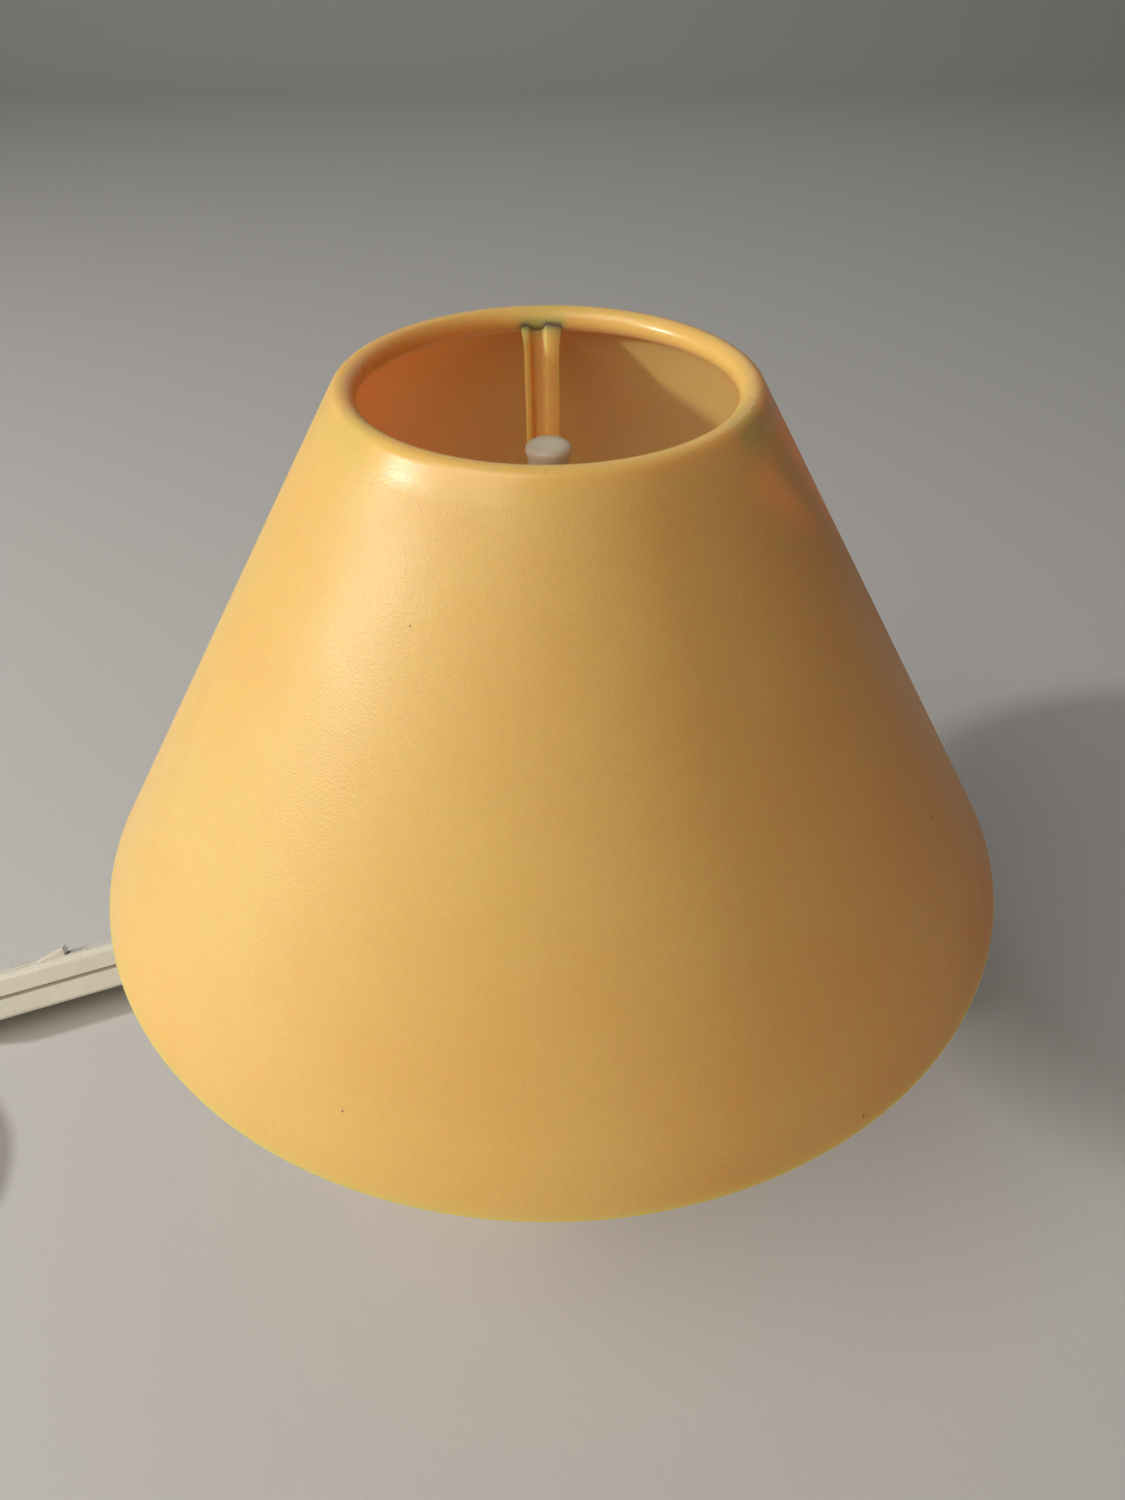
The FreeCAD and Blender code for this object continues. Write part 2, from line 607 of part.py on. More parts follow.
def contact_shell():
    """Return the threaded brass sleeve that takes the bulb's cap."""
    bottom = CORE_FLOOR + 1.4
    top = FLANGE_TOP - 1.6
    bore = CAP_R + 0.12
    sleeve = tube(CONTACT_R, bore, bottom, top - bottom)
    grooves = thread_rings(bore, CONTACT_R - bore - CONTACT_WALL, bottom + 1.0,
                           top - bottom - 2.0, CAP_PITCH, True)
    return sleeve.cut(grooves)


def centre_contact():
    """Return the spring strip under the bulb's tip."""
    z = CORE_FLOOR + SEAT_GAP
    tongue_z = BULB_BOTTOM - 0.25 - 0.4
    strip = block((9.0, 4.0, 0.4), (0, 0), z)
    riser = block((0.4, 4.0, tongue_z - z + 0.4), (-4.3, 0), z)
    tongue = block((7.0, 4.0, 0.4), (-1.0, 0), tongue_z)
    return strip.fuse([riser, tongue]).removeSplitter()


def terminal_blocks():
    """Return the two brass blocks that take the leads."""
    blocks = []
    for side in (-1, 1):
        body = block(TERMINAL, (side * TERMINAL_AT, 0), CORE_BOTTOM - 0.7)
        body = body.cut(disc(LEAD_R + BORE_GAP, CORE_BOTTOM - 2, 5.0, (side * TERMINAL_AT, 0)))
        start = V(side * (TERMINAL_AT + 3.0), 0, CORE_BOTTOM + TERMINAL_SCREW_Z)
        hole = Part.makeCylinder(TERMINAL_SCREW_R, 4.0, start, V(-side, 0, 0))
        blocks.append(body.cut(hole))
    return blocks


def terminal_screws():
    """Return the small screws that grip the leads."""
    screws = []
    for side in (-1, 1):
        start = V(side * (TERMINAL_AT + 2.6), 0, CORE_BOTTOM + TERMINAL_SCREW_Z)
        screws.append(Part.makeCylinder(TERMINAL_SCREW_R - THREAD_CLEARANCE, 2.5, start,
                                        V(-side, 0, 0)))
    return screws


# ---------------------------------------------------------------- bulb

def bulb_profile(inset):
    """Return the candle outline as (radius, z) points from the cap to the tip."""
    neck_r = CAP_FLANGE_R - 0.6
    waist_z = CAP_TOP + 2.0
    belly_z = BULB_BOTTOM + 0.54 * BULB_LENGTH
    tip_r = 4.0
    tip_z = BULB_TOP - inset
    return {
        "cap": (neck_r - inset, CAP_TOP - 4.0),
        "neck": (neck_r - inset, waist_z),
        "shoulder": (BULB_R * 0.78 - inset, CAP_TOP + 9.5),
        "belly": (BULB_R - inset, belly_z),
        "flank": (BULB_R * 0.72 - inset, BULB_BOTTOM + 0.79 * BULB_LENGTH),
        "tip_side": (tip_r - inset * 0.8, BULB_TOP - 2.9 - inset * 0.4),
        "tip": (0.0, tip_z),
    }


def bulb_solid(inset):
    """Return the solid inside the candle outline."""
    p = bulb_profile(inset)
    names = ["neck", "shoulder", "belly", "flank", "tip_side", "tip"]
    curve = Part.BSplineCurve()
    curve.interpolate([V(p[n][0], 0, p[n][1]) for n in names],
                      InitialTangent=V(0.15, 0, 1), FinalTangent=V(-1, 0, 0))
    cap = p["cap"]
    return turned([line((0, cap[1]), cap), line(cap, p["neck"]), curve.toShape(),
                   line(p["tip"], (0, cap[1]))])


def bulb_glass():
    """Return the hollow glass envelope, open inside the cap."""
    inner = bulb_solid(GLASS_WALL)
    throat = disc(CAP_FLANGE_R - 0.6 - GLASS_WALL, CAP_TOP - 6.0, 6.0)
    return bulb_solid(0.0).cut(inner.fuse(throat))


def bulb_cap():
    """Return the thin screwed cap with its flange."""
    bottom = BULB_BOTTOM + 3.6
    wall = 0.3
    thread_top = CAP_TOP - 6.0
    outer = [(3.0, bottom), (CAP_R - 0.8, bottom), (CAP_R, bottom + 1.0), (CAP_R, thread_top),
             (CAP_FLANGE_R, CAP_TOP - 4.6), (CAP_FLANGE_R, CAP_TOP)]
    inner = [(CAP_FLANGE_R - wall, CAP_TOP), (CAP_FLANGE_R - wall, CAP_TOP - 4.4),
             (CAP_R - 0.9, thread_top), (CAP_R - 0.9, bottom + 1.2), (3.0, bottom + 0.8)]
    cap = turned_outline(outer + inner)
    threads = thread_rings(CAP_R, 0.5, bottom + 1.4, thread_top - bottom - 2.0, CAP_PITCH, False)
    return cap.cut(threads)


def cap_insulator():
    """Return the dark glass disc between the cap and its tip."""
    bottom = BULB_BOTTOM + 0.9
    top = BULB_BOTTOM + 3.6 - SEAT_GAP
    return turned_outline([(2.5, bottom), (3.4, bottom), (CAP_R - 1.2, top), (2.5, top)])


def cap_tip():
    """Return the soldered contact at the end of the cap."""
    z = BULB_BOTTOM
    crown = (2.4 * math.sin(math.radians(45)), z + 0.35)
    return turned([arc((0, z), crown, (2.4, z + 1.1)), line((2.4, z + 1.1), (2.4, z + 3.2)),
                   line((2.4, z + 3.2), (0, z + 3.2)), line((0, z + 3.2), (0, z))])


def bulb_stem():
    """Return the glass mount inside the bulb."""
    bottom = STEM_GLASS_BOTTOM
    top = bottom + STEM_GLASS_LENGTH
    flare_r = CAP_FLANGE_R - 0.6 - GLASS_WALL - SEAT_GAP
    return turned_outline([(0, bottom), (flare_r, bottom), (flare_r, bottom + 1.0),
                           (3.0, bottom + 6.0), (2.2, top - 4.0), (2.6, top), (0, top)])


def bulb_filament():
    """Return the two support wires and the coiled filament between them."""
    stem_top = STEM_GLASS_BOTTOM + STEM_GLASS_LENGTH
    hook_z = stem_top + FILAMENT_RISE
    wires = []
    for side in (-1, 1):
        a = V(side * 1.4, 0, stem_top + FILAMENT_WIRE_R)
        b = V(side * FILAMENT_REACH, 0, hook_z)
        wires.append(Part.makeCylinder(FILAMENT_WIRE_R, (b - a).Length, a, b - a))
    left = V(-FILAMENT_REACH, 0, hook_z)
    right = V(FILAMENT_REACH, 0, hook_z)
    bow = Part.Arc(left, V(0, 0, hook_z + 2.5), right).toShape()
    ring = Part.Circle(left, bow.tangentAt(bow.FirstParameter), FILAMENT_COIL_R).toShape()
    coil = Part.Wire([bow]).makePipeShell([Part.Wire([ring])], True, True)
    return coil.fuse(wires)


# ---------------------------------------------------------------- switch

def in_switch(shape):
    """Return a shape moved from the switch's own frame to its place, leaning on its rear edge."""
    leaning = shape.copy()
    leaning.rotate(V(0, 0, SWITCH_CORD_Z), V(1, 0, 0), -SWITCH_ROLL)
    return turned_about_z(leaning, SWITCH_TURN, (SWITCH_AT[0], SWITCH_AT[1], SWITCH_LIFT))


def switch_half(z, height, slab_round, up):
    """Return one half shell of the switch: a long block, rounded outside and hollow inside."""
    outer = rounded_slab(SWITCH_LENGTH, SWITCH_WIDTH, SWITCH_CORNER, z, height)
    face_z = z + height if up else z
    rim = [e for e in outer.Edges if abs(e.BoundBox.ZMin - face_z) < 1e-6
           and abs(e.BoundBox.ZMax - face_z) < 1e-6]
    outer = outer.makeFillet(slab_round, rim)
    inner = rounded_slab(SWITCH_LENGTH - 2 * SWITCH_WALL, SWITCH_WIDTH - 2 * SWITCH_WALL,
                         SWITCH_CORNER - SWITCH_WALL, z - 1 if up else z + SWITCH_WALL,
                         height - SWITCH_WALL + 1)
    return outer.cut(inner)


def bush_holes():
    """Return the holes for the bushes through both ends of the switch."""
    start = SWITCH_LENGTH / 2 - 6.0
    return [Part.makeCylinder(SWITCH_BUSH_R, 8.0, V(side * start, 0, SWITCH_CORD_Z), V(side, 0, 0))
            for side in (-1, 1)]


def switch_screw_places():
    """Return the plan positions of the switch's screws in its own frame."""
    return [(side * SWITCH_SCREW_AT, SWITCH_SCREW_SIDE) for side in (-1, 1)]


def switch_lower():
    """Return the lower half shell, with posts for the screws and cradles for the pin."""
    shell = switch_half(0, SWITCH_SPLIT - PARTING_GROOVE, SWITCH_EDGE_R, False)
    height = SWITCH_SPLIT - PARTING_GROOVE - SWITCH_WALL
    posts = [disc(SWITCH_POST_R, SWITCH_WALL, height, at) for at in switch_screw_places()]
    shell = shell.fuse(posts).cut(bush_holes())
    for at in switch_screw_places():
        shell = shell.cut(disc(SCREW_R + THREAD_CLEARANCE, -1, SWITCH_SPLIT + 2, at))
        shell = shell.cut(disc(SCREW_HEAD_R + BORE_GAP, -1, 1 + SCREW_HEAD_HEIGHT + 0.4, at))
    return in_switch(shell)


def switch_upper():
    """Return the upper half shell with the rocker's window and the screws' posts."""
    base_z = SWITCH_SPLIT + PARTING_GROOVE
    shell = switch_half(base_z, SWITCH_HEIGHT - base_z, SWITCH_CROWN_R, True)
    step = rounded_slab(SWITCH_LENGTH - 2.4, SWITCH_WIDTH - 2.4, SWITCH_CORNER - 1.2,
                        SWITCH_SPLIT - PARTING_GROOVE + SEAT_GAP, 2 * PARTING_GROOVE)
    hollow = rounded_slab(SWITCH_LENGTH - 2 * SWITCH_WALL, SWITCH_WIDTH - 2 * SWITCH_WALL,
                          SWITCH_CORNER - SWITCH_WALL, SWITCH_SPLIT - 2, 4)
    posts = [disc(SWITCH_POST_R, SWITCH_SPLIT, SWITCH_HEIGHT - SWITCH_SPLIT - 1.0, at)
             for at in switch_screw_places()]
    cheeks = [block((5.0, 1.6, SWITCH_HEIGHT - 1.0 - (ROCKER_PIVOT_Z - 2.2)),
                    (0, side * (ROCKER_WIDTH / 2 + RUNNING_GAP + 0.8)), ROCKER_PIVOT_Z - 2.2)
              for side in (-1, 1)]
    shell = shell.fuse([step.cut(hollow)] + posts + cheeks)
    window = block((ROCKER_LENGTH + 2 * RUNNING_GAP, ROCKER_WIDTH + 2 * RUNNING_GAP, 8), (0, 0),
                   SWITCH_HEIGHT - 4)
    shell = shell.cut(window).cut(bush_holes())
    pin_hole = Part.makeCylinder(SWITCH_PIN_R + SEAT_GAP, ROCKER_WIDTH + 4.2,
                                 V(0, -ROCKER_WIDTH / 2 - 2.1, ROCKER_PIVOT_Z), V(0, 1, 0))
    shell = shell.cut(pin_hole)
    for at in switch_screw_places():
        shell = shell.cut(disc(SCREW_R + THREAD_CLEARANCE, SWITCH_SPLIT - 1, 6.0, at))
    return in_switch(shell.removeSplitter())


def rocker_outline():
    """Return the rocker's side view: two flat wings that meet at a shallow valley, and a round root."""
    wing = math.tan(math.radians(ROCKER_TILT))
    top = SWITCH_HEIGHT + 0.4
    half = ROCKER_LENGTH / 2 - wing * (top - ROCKER_PIVOT_Z)
    return [(-half, ROCKER_PIVOT_Z + 0.8), (-3.0, ROCKER_PIVOT_Z - 2.0), (3.0, ROCKER_PIVOT_Z - 2.0),
            (half, ROCKER_PIVOT_Z + 0.8), (half, top + half * wing), (0, top),
            (-half, top + half * wing)]


def rocker_body():
    """Return the rocker level on its pivot, in the switch's frame."""
    points = [V(x, -ROCKER_WIDTH / 2, z) for x, z in rocker_outline()]
    body = Part.Face(Part.makePolygon(points + points[:1])).extrude(V(0, ROCKER_WIDTH, 0))
    body = body.makeFillet(0.6, [e for e in body.Edges if e.BoundBox.ZMin > SWITCH_HEIGHT + 0.2
                                 and e.BoundBox.YLength < 0.01])
    bore = Part.makeCylinder(SWITCH_PIN_R + BORE_GAP, ROCKER_WIDTH + 2,
                             V(0, -ROCKER_WIDTH / 2 - 1, ROCKER_PIVOT_Z), V(0, 1, 0))
    return body.cut(bore)


def switch_rocker():
    """Return the rocker tipped to its off position, the end towards the lamp raised."""
    body = rocker_body()
    body.rotate(V(0, 0, ROCKER_PIVOT_Z), V(0, 1, 0), -ROCKER_TILT)
    return in_switch(body)


def rocker_pin():
    """Return the steel pin that the rocker turns on."""
    length = ROCKER_WIDTH + 3.6
    pin = Part.makeCylinder(SWITCH_PIN_R, length, V(0, -length / 2, ROCKER_PIVOT_Z), V(0, 1, 0))
    return in_switch(pin)


def fixed_contacts():
    """Return the two contact posts under the rocker."""
    posts = []
    for side in (-1, 1):
        foot = block((8.0, 3.0, 0.8), (side * 13.0, -3.6), SWITCH_WALL + SEAT_GAP)
        post = block((0.8, 3.0, 4.6), (side * 9.4, -3.6), SWITCH_WALL + SEAT_GAP)
        posts.append(in_switch(foot.fuse(post).removeSplitter()))
    return posts


def switch_bushes():
    """Return the two collars where the cord passes into the switch."""
    bushes = []
    for side in (-1, 1):
        outline = [(CORD_R + BORE_GAP, 0), (SWITCH_BUSH_R - SEAT_GAP, 0),
                   (SWITCH_BUSH_R - SEAT_GAP, 5.0), (CORD_R + 1.0, 8.5), (CORD_R + BORE_GAP, 8.5)]
        collar = turned_outline(outline)
        collar.rotate(V(0, 0, 0), V(0, 1, 0), 90)
        collar.translate(V(SWITCH_LENGTH / 2 - 4.0, 0, SWITCH_CORD_Z))
        if side < 0:
            collar.rotate(V(0, 0, 0), Z, 180)
        bushes.append(in_switch(collar))
    return bushes


def switch_screws():
    """Return the two screws that close the switch from below."""
    return [in_switch(screw(at, 0.4, 8.5, True)) for at in switch_screw_places()]


# ---------------------------------------------------------------- cord and plug

def switch_point(along, z):
    """Return a point on the switch's long axis."""
    axis = polar(along, SWITCH_TURN)
    return V(SWITCH_AT[0] + axis.x, SWITCH_AT[1] + axis.y, z)


def plug_point(along, z):
    """Return a point on the plug's axis, measured from the end of its strain relief."""
    axis = polar(along, PLUG_TURN)
    return V(PLUG_AT[0] + axis.x, PLUG_AT[1] + axis.y, z)


LAMP_CORD_ROUTE = [
    polar(BUSH_END_R, CORD_EXIT_TURN, CORD_EXIT_Z),
    polar(BUSH_END_R + 14.0, CORD_EXIT_TURN, CORD_EXIT_Z),
    V(-84.0, 46.8, 8.6),
    V(-96.0, 46.6, 8.4),
    switch_point(50.0, SWITCH_AXIS_Z),
    switch_point(31.0, SWITCH_AXIS_Z),
]
MAINS_CORD_ROUTE = [
    switch_point(-31.0, SWITCH_AXIS_Z),
    switch_point(-47.0, SWITCH_AXIS_Z),
    V(-211.8, 0.9, 6.6),
    V(-225.4, -6.3, 3.9),
]
TAIL_ROUTE = [
    V(-246.2, -51.1, 9.3),
    V(-243.1, -63.7, 7.4),
    V(-237.8, -75.6, 5.0),
    plug_point(-8.0, PLUG_Z),
    plug_point(7.0, PLUG_Z),
]


def cord_path(route):
    """Return a wire of straight runs joined by tangent arcs, as large as the runs allow."""
    edges = []
    radii = []
    start = route[0]
    for before, corner, after in zip(route, route[1:], route[2:]):
        into = corner - before
        out = after - corner
        turn = into.getAngle(out)
        reach = 0.45 * min(into.Length, out.Length)
        radii.append(reach / math.tan(turn / 2))
        into.normalize()
        out.normalize()
        first = corner - into * reach
        last = corner + out * reach
        inward = out - into
        inward.normalize()
        sagitta = radii[-1] / math.cos(turn / 2) - radii[-1]
        edges.append(Part.LineSegment(start, first).toShape())
        edges.append(Part.Arc(first, corner + inward * sagitta, last).toShape())
        start = last
    edges.append(Part.LineSegment(start, route[-1]).toShape())
    return Part.Wire(edges), radii


def cord_tube(route, radius, name):
    """Return the round tube along a route, and check its volume against its length."""
    path, radii = cord_path(route)
    ring = Part.Wire([Part.Circle(route[0], route[1] - route[0], radius).toShape()])
    pipe = path.makePipeShell([ring], True, True)
    expected = math.pi * radius ** 2 * path.Length
    print(f"{name}: {path.Length:.1f} mm, smallest bend {min(radii):.0f} mm,"
          f" volume {pipe.Volume / expected:.4f} of its section times its length")
    return pipe


def cord_end():
    """Return the straight end of the cord inside the base and its bush."""
    inner_end = CLAMP_AT_R - 5.0
    stub = Part.makeCylinder(CORD_R, BUSH_END_R - inner_end, V(inner_end, 0, CORD_EXIT_Z), V(1, 0, 0))
    return turned_about_z(stub, CORD_EXIT_TURN)


def lead(side, name):
    """Return one inner lead from the cord's end, up through the nipple to its terminal."""
    def local(radius, across, z):
        return turned_about_z(Part.Vertex(radius, across, z), CORD_EXIT_TURN).Point

    route = [
        local(CLAMP_AT_R - 5.4, side * 1.3, CORD_EXIT_Z),
        local(17.0, side * 1.5, CORD_EXIT_Z - 0.8),
        local(7.5, side * 1.7, CORD_EXIT_Z - 0.4),
        local(0.0, side * 1.7, NIPPLE_BOTTOM - 1.5),
        local(0.0, side * 1.65, BASE_HEIGHT / 2),
        local(0.0, side * 1.6, NIPPLE_TOP + 0.5),
        V(-side * TERMINAL_AT, 0, CORE_BOTTOM - 3.0),
        V(-side * TERMINAL_AT, 0, CORE_BOTTOM + 1.6),
    ]
    return cord_tube(route, LEAD_R, name)


def cord_coil():
    """Return the outer shape of the coil that holds the rest of the cord."""
    ring = tube(COIL_OUTER_R, COIL_BORE_R, COIL_Z, COIL_HEIGHT, COIL_AT)
    round_edges = [e for e in ring.Edges if e.BoundBox.ZLength < 1e-6]
    return ring.makeFillet(0.7 * CORD_R, round_edges)


def coil_tie():
    """Return the band that holds the turns together."""
    wide = COIL_OUTER_R - COIL_BORE_R + 2 * SEAT_GAP
    height = COIL_HEIGHT + SEAT_GAP
    middle = (COIL_OUTER_R + COIL_BORE_R) / 2
    outside = (wide + 2 * TIE_THICKNESS, TIE_WIDTH, height + 2 * TIE_THICKNESS)
    band = block(outside, (middle, 0))
    hole = block((wide, TIE_WIDTH + 2, height), (middle, 0), TIE_THICKNESS - SEAT_GAP)
    knot = block((2.0, TIE_WIDTH, 3.0), (middle, 0), outside[2])
    tie = band.cut(hole).fuse(knot).removeSplitter()
    return turned_about_z(tie, TIE_TURN, COIL_AT + (0,)).cut(cord_coil())


def in_plug(shape):
    """Return a shape moved from the plug's own frame, X along the pins, to its place."""
    return turned_about_z(shape, PLUG_TURN, (PLUG_AT[0], PLUG_AT[1], PLUG_Z))


def plug_relief():
    """Return the tapered strain relief behind the plug."""
    bore = CORD_R + BORE_GAP
    outline = [(bore, 0), (CORD_R + 0.8, 0), (5.6, PLUG_RELIEF_LENGTH), (bore, PLUG_RELIEF_LENGTH)]
    relief = turned_outline(outline)
    relief.rotate(V(0, 0, 0), V(0, 1, 0), 90)
    return in_plug(relief)


def plug_body():
    """Return the flat moulded body, narrow at the cord and full width at the pins."""
    start = PLUG_RELIEF_LENGTH + SEAT_GAP
    end = PLUG_FACE
    half = PLUG_WIDTH / 2
    side = [(start, 7.0), (start + 7, 8.0), (start + 20, half - 1.8), (start + 25, half), (end, half)]
    outline = side + [(x, -y) for x, y in reversed(side)]
    points = [V(x, y, -PLUG_THICKNESS / 2) for x, y in outline]
    body = Part.Face(Part.makePolygon(points + points[:1])).extrude(V(0, 0, PLUG_THICKNESS))
    flat = [e for e in body.Edges if e.BoundBox.ZLength < 1e-6 and e.BoundBox.XMax < end + 1e-6
            and not (e.BoundBox.XMin > end - 1e-6)]
    body = body.makeFillet(2.4, flat)
    for across in (-PIN_SPACING / 2, PIN_SPACING / 2):
        root = V(end - PIN_ROOT, across, 0)
        body = body.cut(Part.makeCylinder(PIN_NECK_R + BORE_GAP, PIN_ROOT + 1, root, V(1, 0, 0)))
    return in_plug(body)


def plug_pins():
    """Return the two round contact pins, necked where their sleeves sit."""
    pins = []
    for across in (-PIN_SPACING / 2, PIN_SPACING / 2):
        outline = [(0, -PIN_ROOT), (PIN_NECK_R, -PIN_ROOT), (PIN_NECK_R, SLEEVE_LENGTH),
                   (PIN_R, SLEEVE_LENGTH), (PIN_R, PIN_LENGTH - 1.4),
                   (PIN_R - 1.0, PIN_LENGTH - 0.3), (0, PIN_LENGTH)]
        pin = turned_outline(outline)
        pin.rotate(V(0, 0, 0), V(0, 1, 0), 90)
        pin.translate(V(PLUG_FACE, across, 0))
        pins.append(in_plug(pin))
    return pins


def pin_sleeves():
    """Return the insulating sleeves round the roots of the pins."""
    sleeves = []
    for across in (-PIN_SPACING / 2, PIN_SPACING / 2):
        sleeve = tube(SLEEVE_R, PIN_NECK_R + BORE_GAP, SEAT_GAP, SLEEVE_LENGTH - 2 * SEAT_GAP)
        sleeve.rotate(V(0, 0, 0), V(0, 1, 0), 90)
        sleeve.translate(V(PLUG_FACE, across, 0))
        sleeves.append(in_plug(sleeve))
    return sleeves


NODES = {
    "shade": shade,
    "shade_ring": shade_ring,
    "base_foot": base_foot,
    "stem": stem,
    "bottom_cover": bottom_cover,
    "cover_screws": cover_screws,
    "foot_pads": foot_pads,
    "ballast_plate": ballast_plate,
    "cord_bush": cord_bush,
    "cord_clamp": cord_clamp,
    "clamp_screws": clamp_screws,
    "nipple": nipple,
    "nipple_washer": nipple_washer,
    "nipple_nut": nipple_nut,
    "holder_skirt": holder_skirt,
    "holder_shell": holder_shell,
    "holder_core": holder_core,
    "contact_shell": contact_shell,
    "centre_contact": centre_contact,
    "terminal_blocks": terminal_blocks,
    "terminal_screws": terminal_screws,
    "bulb_glass": bulb_glass,
    "bulb_stem": bulb_stem,
    "bulb_filament": bulb_filament,
    "bulb_cap": bulb_cap,
    "cap_insulator": cap_insulator,
    "cap_tip": cap_tip,
    "switch_lower": switch_lower,
    "switch_upper": switch_upper,
    "switch_rocker": switch_rocker,
    "rocker_pin": rocker_pin,
    "fixed_contacts": fixed_contacts,
    "switch_bushes": switch_bushes,
    "switch_screws": switch_screws,
    "cord_end": cord_end,
    "live_lead": lambda: lead(1, "live_lead"),
    "neutral_lead": lambda: lead(-1, "neutral_lead"),
    "lamp_cord": lambda: cord_tube(LAMP_CORD_ROUTE, CORD_R, "lamp_cord"),
    "mains_cord": lambda: cord_tube(MAINS_CORD_ROUTE, CORD_R, "mains_cord"),
    "cord_coil": cord_coil,
    "coil_tie": coil_tie,
    "cord_tail": lambda: cord_tube(TAIL_ROUTE, CORD_R, "cord_tail"),
    "plug_relief": plug_relief,
    "plug_body": plug_body,
    "plug_pins": plug_pins,
    "pin_sleeves": pin_sleeves,
}

for node, make in NODES.items():
    made = make()
    save(Part.makeCompound(made) if isinstance(made, list) else made, node)
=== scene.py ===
"""A small table lamp: a conical moulded shade on three legs over a candle bulb, a weighted base,
and a mains cord with a rocker switch, put away in a coil with its plug beside it."""

import math

import bmesh
import bpy
from mathutils import Matrix, Vector


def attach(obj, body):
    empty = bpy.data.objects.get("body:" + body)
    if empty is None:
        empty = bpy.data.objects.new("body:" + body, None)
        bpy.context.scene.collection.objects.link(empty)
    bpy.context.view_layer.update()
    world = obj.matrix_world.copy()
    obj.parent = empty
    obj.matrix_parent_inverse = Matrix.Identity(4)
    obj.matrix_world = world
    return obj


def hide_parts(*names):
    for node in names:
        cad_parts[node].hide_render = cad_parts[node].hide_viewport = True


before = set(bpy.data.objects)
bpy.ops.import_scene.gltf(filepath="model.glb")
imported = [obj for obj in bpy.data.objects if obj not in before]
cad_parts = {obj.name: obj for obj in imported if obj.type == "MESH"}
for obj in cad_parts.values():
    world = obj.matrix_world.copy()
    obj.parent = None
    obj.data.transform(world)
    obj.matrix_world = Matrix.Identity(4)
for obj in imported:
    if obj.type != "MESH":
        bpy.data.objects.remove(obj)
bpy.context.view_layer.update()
MM = 0.001

# ------------------------------------------------------------------ view and room
# The lamp stands on a pale table top that runs up into a pale wall far behind it. A small bright
# lamp stands low at the left, a broad warm one fills in from above the left front corner, a weak
# cool one stands behind, and a faint pale sky is all round.

CAMERA_AT = Vector((0.0, -194.6, 281.8)) * MM
CAMERA_DOWN = math.radians(39.71)
CAMERA_PAN = math.radians(0.55)
CAMERA_ROLL = math.radians(-0.59)
CAMERA_LENS = 27.05


def camera_axes():
    """Return the camera's right, up and backward directions."""
    ahead = Vector((0, math.cos(CAMERA_DOWN), -math.sin(CAMERA_DOWN)))
    right = Vector((1, 0, 0))
    up = right.cross(ahead)
    panned = ahead * math.cos(CAMERA_PAN) + right * math.sin(CAMERA_PAN)
    right = right * math.cos(CAMERA_PAN) - ahead * math.sin(CAMERA_PAN)
    rolled = right * math.cos(CAMERA_ROLL) + up * math.sin(CAMERA_ROLL)
    up = up * math.cos(CAMERA_ROLL) - right * math.sin(CAMERA_ROLL)
    return rolled, up, -panned


camera = bpy.data.objects.new("camera", bpy.data.cameras.new("camera"))
camera.data.lens = CAMERA_LENS
camera.data.clip_start = 0.01
axes = camera_axes()
camera.matrix_world = Matrix([[axes[c][r] for c in range(3)] + [CAMERA_AT[r]] for r in range(3)]
                             + [[0, 0, 0, 1]])
bpy.context.collection.objects.link(camera)
bpy.context.scene.camera = camera


def add_piece(name, mesh):
    """Link a mesh to the scene under a name, at the origin."""
    piece = bpy.data.objects.new(name, mesh)
    bpy.context.collection.objects.link(piece)
    return piece


def area_light(name, at, aim, size, power, colour):
    """Add a square soft light at one point, turned towards another."""
    light = bpy.data.lights.new(name, "AREA")
    light.size = size
    light.energy = power
    light.color = colour
    holder = add_piece(name, light)
    holder.location = at
    holder.rotation_euler = (Vector(aim) - Vector(at)).to_track_quat("-Z", "Y").to_euler()


LAMP_MIDDLE = (0.0, 0.0, 0.12)
area_light("key_light", (-1.34, -0.36, 0.68), LAMP_MIDDLE, 0.10, 13.5, (1.0, 0.98, 0.95))
area_light("fill_light", (-0.8, -0.8, 1.4), LAMP_MIDDLE, 1.2, 16.0, (1.0, 0.93, 0.84))
area_light("back_light", (0.3, 1.2, 1.1), LAMP_MIDDLE, 1.0, 1.2, (0.94, 0.97, 1.0))

world = bpy.data.worlds.new("pale_sky")
world.use_nodes = True
world.node_tree.nodes["Background"].inputs["Color"].default_value = (0.78, 0.82, 0.88, 1)
world.node_tree.nodes["Background"].inputs["Strength"].default_value = 0.07
bpy.context.scene.world = world
bpy.context.scene.view_settings.view_transform = "Standard"


class Value:
    """A socket of a finish's node tree that can stand in a sum."""

    def __init__(self, finish, socket):
        self.finish = finish
        self.socket = socket

    def maths(self, operation, first, second):
        """Return a sum of two numbers or values."""
        return self.finish.node("ShaderNodeMath", {"operation": operation}, {0: first, 1: second})

    def __add__(self, other):
        return self.maths("ADD", self, other)

    def __radd__(self, other):
        return self.maths("ADD", other, self)

    def __sub__(self, other):
        return self.maths("SUBTRACT", self, other)

    def __rsub__(self, other):
        return self.maths("SUBTRACT", other, self)

    def __mul__(self, other):
        return self.maths("MULTIPLY", self, other)

    def __rmul__(self, other):
        return self.maths("MULTIPLY", other, self)

    def __gt__(self, other):
        return self.maths("GREATER_THAN", self, other)

    def __lt__(self, other):
        return self.maths("LESS_THAN", self, other)


